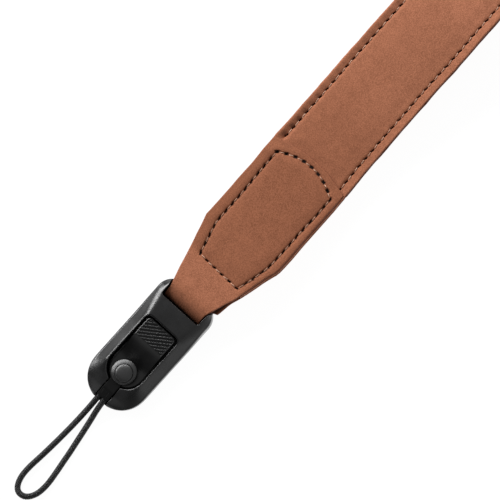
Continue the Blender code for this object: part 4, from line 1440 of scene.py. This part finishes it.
def seam_holes(places, from_edge, on_left, start):
    """Depth of the awl holes along both seams, a stitch pitch apart and leaning towards each other."""
    lean = np.where(on_left, 1.0, -1.0)
    last = loop_total - JOINT_LENGTH - start
    near = (places - JOINT_LENGTH - start + STITCH_PITCH / 2) % STITCH_PITCH - STITCH_PITCH / 2
    off = from_edge - SEAM_INSET
    along = near * math.cos(HOLE_SLANT) + lean * off * math.sin(HOLE_SLANT)
    aside = off * math.cos(HOLE_SLANT) - lean * near * math.sin(HOLE_SLANT)
    length, width = BAND_HOLE
    inside = 1 - ease(np.abs(along), length * 0.33, length * 0.60)
    inside = inside * (1 - ease(np.abs(aside), width * 0.30, width * 0.60))
    return inside * (places > JOINT_LENGTH + start - STITCH_PITCH / 2) * (places < last + STITCH_PITCH / 2)


# How far the band's edges stand outside their straight lines, along the loop: its lower run lies a little
# to the left of the upper one, as a loop does that was laid down by hand
BAND_TRIMS = np.array(
    (
        # place, left, right
        (0.040, 0.00055, -0.00030),
        (0.046, 0.00070, -0.00042),
        (0.050, 0.00066, -0.00064),
        (0.055, 0.00060, -0.00090),
        (0.061, 0.00068, -0.00101),
        (0.068, 0.00075, -0.00110),
        (0.078, 0.00078, -0.00122),
        (0.090, 0.00078, -0.00122),
        (0.100, 0.00062, -0.00105),
        (0.125, 0.00060, -0.00105),
        (0.175, 0.00080, -0.00220),
        (0.205, 0.00095, -0.00290),
        (0.250, 0.00095, -0.00250),
        (0.300, 0.00095, -0.00190),
        (0.312, 0.00080, -0.00120),
        (0.322, 0.00055, -0.00060),
    )
)


def band_trim(places, x, side):
    """The trim along the loop, and in the joint the same as the tab's."""
    loose = np.interp(places, BAND_TRIMS[:, 0], BAND_TRIMS[:, side])
    free = ease(x, joint_end - 0.0060, joint_end)
    return loose * free + trim(x, side) * (1 - free)


FACE_COLUMNS = (0, 6, 14, 25, 45, 75, 110, 160, 208, 234, 248, 257, 264, 270, 275, 280, 286, 293, 302, 315)
FACE_COLUMNS += (340, 380, 435, 510, 600, 720, 860, 1020, 1200, 1360)
face_places, face_path, face_x, full, in_loop, in_taper = band_frame(STITCH_PITCH / FINE_STEPS)
wander = CUT_WANDER * waver(face_places, 0.019, 11) + FINE_WANDER * waver(face_places, 0.0046, 12)
face_left = full + in_loop * extra_half - TAPER_INSET * in_taper + wander * in_loop
face_left = face_left + band_trim(face_places, face_x, 1)
wander = CUT_WANDER * waver(face_places, 0.023, 13) + FINE_WANDER * waver(face_places, 0.0051, 14)
face_right = full + SHOWN_RIGHT + in_loop * (extra_half - SHOWN_RIGHT) + wander * in_loop
face_right = face_right + band_trim(face_places, face_x, 2)
face_across, from_edge, on_left, starts = band_columns(FACE_COLUMNS, face_left, face_right)
past_flap = face_x - joint_end - FLAP_BOW * (1 - (face_across / FLAP_WIDTH * 2) ** 2)
is_upper = face_places < loop_total / 2
open_margin = np.where(is_upper, ease(past_flap, -0.0004, 0.0008), 1.0)
turn_back = 1 - ease(face_places, loop_total / 2 - 0.012, loop_total / 2 + 0.006)
crowned = np.where(is_upper, ease(past_flap, 0.0001, 0.0040), 1.0) * turn_back
near_joint = 1 - ease(face_places, JOINT_LENGTH, JOINT_LENGTH + NEAR_REACH)
drop = (MARGIN_DROP + MARGIN_DROP_NEAR * near_joint) * np.where(on_left, 1.0, 0.65)
margin = MARGIN_LIP - drop * ease(from_edge, 0.0004, SEAM_INSET)
body = (MARGIN_LIP - drop) * (1 - ease(from_edge, SEAM_INSET, SEAM_INSET + 0.0011))
body = body + BAND_CROWN * ease(from_edge, SEAM_INSET + 0.0004, 0.0090)
groove = -BAND_GROOVE * bell(from_edge - SEAM_INSET, 0.00026)
pull = np.cos(math.tau * (face_places - JOINT_LENGTH - starts) / STITCH_PITCH)
uneven = 0.6 + 0.4 * waver(face_places, 0.0098, 15)
pucker = -PUCKER * pull * uneven * bell(from_edge - 0.0019, 0.00055)
pucker = pucker - 0.4 * PUCKER * pull * bell(from_edge - 0.0032, 0.0005)
sewn = np.where(from_edge < SEAM_INSET, margin, body) + groove + pucker
soft = 0.00007 * waver(face_places + 0.6 * face_across, 0.031, 16)
soft = soft * waver(face_places - face_across, 0.024, 17)
face_holes = seam_holes(face_places, from_edge, on_left, starts)
packing = np.where(is_upper, UPPER_PACKING, LOWER_PACKING) * (1 - in_loop)
lift = np.where(from_edge < SEAM_INSET, open_margin, np.maximum(crowned, open_margin * (sewn < 0)))
relief = lift * turn_back * sewn + (1 - turn_back) * 1.6 * groove + crowned * soft
face_over = LAYER_GAP + FACE_THICKNESS + packing + relief - 0.00050 * face_holes
face_over = face_over - rounded_edge(from_edge, EDGE_ROUND - 0.00020 * (1 - in_loop))
face_under = -LAYER_GAP - rounded_edge(from_edge, 0.0002)
edge_paint = (1 - ease(from_edge, 0.00003, 0.00013)) * np.where(on_left, 1.0, in_loop)
# Painted light: along its upper run the face is painted paler in two steps towards the far bend, for the
# light that grows there; it is also paler at both edges
painted_light_and_paler_edges = 0.19 + 0.36 * ease(face_places, 0.058, 0.080) + 0.45 * ease(face_places, 0.100, 0.120)
painted_light_and_paler_edges = painted_light_and_paler_edges * turn_back + 0.45 * bell(from_edge, 0.0007) * turn_back

# Painted shade: the left margin is painted darker where it's drawn in beside the flap, most of all in the
# pucker hollows between the stitches
margin_painted_shade = ease(from_edge, 0.0006, 0.0013) * (1 - ease(from_edge, SEAM_INSET - 0.0003, SEAM_INSET)) * on_left
margin_painted_shade = margin_painted_shade * open_margin * (1 - 0.80 * ease(face_places, 0.050, 0.078)) * turn_back
scallop = (0.5 + 0.5 * pull) * uneven * bell(from_edge - 0.0021, 0.0007)
face_painted_shade = np.maximum(face_holes, margin_painted_shade * (0.09 + 0.08 * waver(face_places, 0.0045, 18) + 0.90 * scallop))
plain = np.zeros_like(face_over)
face_mesh, face_top, _ = sheet_mesh(
    "band_outer",
    face_path,
    face_across + LEATHER_DRIFT,
    plain,
    face_over,
    face_under,
    {"edge": (edge_paint, edge_paint), "hole": (face_painted_shade, plain), "bend": (painted_light_and_paler_edges + plain, plain)},
)
face_nubuck = nubuck("face_nubuck", LEATHER_DEEP, LEATHER_PALE, (0.190, 0.060, 0.034))
band_outer = new_piece("band_outer", face_mesh, face_nubuck)
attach(band_outer, "strap")
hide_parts("band_face")

# The lining is the inner leather of the loop. It reaches a little past the face on the right, where its
# burnished edge shows.
LINING_THICKNESS = 0.00125
LINING_PACKING = 0.00012
LINING_REACH = 0.00025
LINING_COLUMNS = (0, 6, 14, 28, 60, 110, 170, 235, 254, 264, 270, 275, 280, 286, 296, 315)
LINING_COLUMNS += (350, 420, 540, 700, 900, 1150, 1350)
lining_places, lining_path, lining_x, full, in_loop, in_taper = band_frame(STITCH_PITCH / FINE_STEPS * 2)
lining_left = full + in_loop * 0.00025 - TAPER_INSET * in_taper
lining_left = lining_left + 0.00010 * waver(lining_places, 0.021, 21) + band_trim(lining_places, lining_x, 1)
lining_right = full + in_loop * (extra_half + LINING_REACH)
lining_right = lining_right + 0.00010 * waver(lining_places, 0.017, 22)
lining_right = lining_right + band_trim(lining_places, lining_x, 2)
lining_across, from_edge, on_left, starts = band_columns(LINING_COLUMNS, lining_left, lining_right)
lining_holes = seam_holes(lining_places, from_edge, on_left, starts)
groove = -0.00022 * bell(from_edge - SEAM_INSET, 0.0004)
packing = LINING_PACKING * (1 - in_loop)
lining_under = LAYER_GAP + LINING_THICKNESS + packing + in_loop * (groove - 0.0004 * lining_holes)
lining_under = lining_under - rounded_edge(from_edge, EDGE_ROUND)
lining_over = -LAYER_GAP - rounded_edge(from_edge, 0.0002)
plain = np.zeros_like(lining_under)
edge_paint = 1 - np.where(on_left, ease(from_edge, 0.00004, 0.00014), ease(from_edge, 0.00045, 0.00075))
lining_mesh, _, lining_face = sheet_mesh(
    "band_inner",
    lining_path,
    lining_across + LEATHER_DRIFT,
    plain,
    lining_over + plain,
    lining_under,
    {"edge": (edge_paint, edge_paint), "hole": (plain, lining_holes), "bend": (plain, plain)},
)
lining_nubuck = nubuck("lining_nubuck", (0.220, 0.082, 0.042), (0.400, 0.160, 0.088), (0.150, 0.046, 0.027))
band_inner = new_piece("band_inner", lining_mesh, lining_nubuck)
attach(band_inner, "strap")
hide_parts("band_lining")

# The sewing is waxed tan thread, in one seam round the joint and two along the band. Each stitch dips into
# its holes at both ends, and shows on both sides of the leather.
STITCH_LENGTH = 0.00180
THREAD_THICKNESS = 0.00027
STITCH_ARCH = 0.00017
STITCH_DIP = 0.00026
STITCH_SLANT = math.radians(7)
STITCH_VARIATION = 0.07
SEWING_SEED = 11
SEAM_COLUMN = 275
STITCH_STEPS = 6
THREAD_SIDES = 7
THREAD_TAPER = 0.38
stitch_points = []
stitch_along = []
stitch_up = []
stitch_share = []


def add_stitch(point, along, up, slant, lift, share=1.0):
    """Note a stitch: its middle, its direction turned by the slant, the way out and its share of length."""
    along = Vector(along).normalized()
    up = (Vector(up) - Vector(up).dot(along) * along).normalized()
    along = Matrix.Rotation(slant, 3, up) @ along
    stitch_points.append(tuple(Vector(point) + lift * up))
    stitch_along.append(tuple(along))
    stitch_up.append(tuple(up))
    stitch_share.append(share)


def seam_stitches(grid, places, columns, start, outward, lift, lying_lift):
    """Stitches along a column of a sheet's points, midway between the holes."""
    last = loop_total - JOINT_LENGTH - start
    for place in np.arange(JOINT_LENGTH + start + STITCH_PITCH / 2, last, STITCH_PITCH):
        row = float(np.interp(place, places, np.arange(len(places))))
        i = int(row)
        point = grid[i, columns] * (1 - row + i) + grid[i + 1, columns] * (row - i)
        along = grid[i + 2, columns] - grid[i - 2, columns]
        aside = grid[i, columns + 1] - grid[i, columns - 1]
        raised = lift if place < loop_total / 2 else lying_lift
        add_stitch(point, along, outward * np.cross(along, aside), STITCH_SLANT, raised)


for grid, places, columns, outward, lift, lying_lift in (
    (face_top, face_places, FACE_COLUMNS, -1, 0.00006, -0.00016),
    (lining_face, lining_places, LINING_COLUMNS, 1, 0.00004, 0.00004),
):
    left_seam = columns.index(SEAM_COLUMN)
    right_seam = 2 * len(columns) - 1 - left_seam
    for chosen, start in ((left_seam, LEFT_SEAM_START), (right_seam, RIGHT_SEAM_START)):
        seam_stitches(grid, places[:, 0], chosen, start, outward, lift, lying_lift)
front_points = tab_top[wrap_middle:].reshape(-1, 3)
back_points = tab_top[: len(back_x)].reshape(-1, 3)
for x, y, angle, share in outline_threads:
    for points, way, lift in ((front_points, 1, 0.00006), (back_points, -1, -0.00010)):
        nearest = np.argmin(np.hypot(points[:, 0] - x, points[:, 1] - y))
        point = (x, y, points[nearest, 2])
        along = (math.cos(angle), math.sin(angle), 0.0)
        add_stitch(point, along, (0.0, 0.0, way), STITCH_SLANT * way, lift, share)

thread = Finish("tan_thread", Specular_IOR_Level=0.25)
fibre = thread.noise(5200.0, 2.0)
twist = thread.fit(fibre, 0.3, 0.7)
# Painted light: stitches whose length share lies near 0.90, along the tab's sides, take a shaded tone, and
# the rest, on the arch, the foot and the band, a paler lit tone
shaded_thread_tone = thread.blend(twist, (0.30, 0.155, 0.100), (0.54, 0.32, 0.22))
lit_thread_tone = thread.blend(twist, (0.46, 0.255, 0.170), (0.78, 0.51, 0.37))
thread_painted_light = thread.fit(thread.math("ABSOLUTE", thread.own("share") - 0.90), 0.0, 0.12)
thread.wear(
    Base_Color=thread.blend(thread_painted_light, shaded_thread_tone, lit_thread_tone),
    Roughness=thread.fit(fibre, 0.3, 0.7, 0.5, 0.65),
    Normal=thread.bump(fibre, 0.00003),
)
stitch_sizes = {
    "Length": STITCH_LENGTH,
    "Thickness": THREAD_THICKNESS,
    "Arch": STITCH_ARCH,
    "Dip": STITCH_DIP,
    "Variation": STITCH_VARIATION,
    "Seed": SEWING_SEED,
    "Finish": thread.material,
}
sewing, size = node_group("sewing", **stitch_sizes)
reach = size("Length") * 0.5
low = size("Dip") * -1.0
stitch = sewing.geo(
    "CurveQuadraticBezier",
    Resolution=STITCH_STEPS,
    Start=sewing.xyz(X=reach * -1.0, Z=low),
    Middle=sewing.xyz(Z=size("Arch") * 2.0 + size("Dip")),
    End=sewing.xyz(X=reach, Z=low),
)
share = sewing.geo("SplineParameter") * 2.0 - 1.0
stitch = sewing.geo("SetCurveRadius", Curve=stitch, Radius=1.0 - THREAD_TAPER * share * share)
thread_round = sewing.geo("CurvePrimitiveCircle", Resolution=THREAD_SIDES, Radius=size("Thickness") * 0.5)
stitch = sewing.geo("CurveToMesh", Curve=stitch, Profile_Curve=thread_round, Fill_Caps=True)
vector = {"data_type": "FLOAT_VECTOR"}
facing = sewing.node(
    "FunctionNodeAxesToRotation",
    {"primary_axis": "X", "secondary_axis": "Z"},
    {
        "Primary Axis": sewing.geo("InputNamedAttribute", vector, Name="along"),
        "Secondary Axis": sewing.geo("InputNamedAttribute", vector, Name="up"),
    },
)
least = 1.0 - size("Variation")
most = 1.0 + size("Variation")
bounds = {0: sewing.xyz(X=least, Y=least, Z=least), 1: sewing.xyz(X=most, Y=most, Z=most)}
scale = sewing.node("FunctionNodeRandomValue", vector, {**bounds, 8: size("Seed")})
share = sewing.geo("InputNamedAttribute", {"data_type": "FLOAT"}, Name="share")
scale = sewing.vector("MULTIPLY", scale, sewing.xyz(X=share, Y=1.0, Z=1.0))
stitches = sewing.geo(
    "InstanceOnPoints", Points=size("Geometry"), Instance=stitch, Rotation=facing, Scale=scale
)
stitches = sewing.geo("RealizeInstances", Geometry=stitches)
stitches = sewing.geo("SetShadeSmooth", Geometry=stitches)
stitches = sewing.geo("SetMaterial", Geometry=stitches, Material=size("Finish"))
stitch_mesh = bpy.data.meshes.new("seam_stitches")
stitch_mesh.from_pydata(stitch_points, [], [])
for key, vectors in (("along", stitch_along), ("up", stitch_up)):
    values = np.array(vectors, dtype=np.float32).reshape(-1)
    stitch_mesh.attributes.new(key, "FLOAT_VECTOR", "POINT").data.foreach_set("vector", values)
stitch_mesh.attributes.new("share", "FLOAT", "POINT").data.foreach_set("value", stitch_share)
stitch_mesh = grown(new_piece("stitch_places", stitch_mesh), sewing, stitches, **stitch_sizes)
seam_thread = new_piece("seam_stitches", stitch_mesh)
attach(seam_thread, "strap")

low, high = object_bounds()
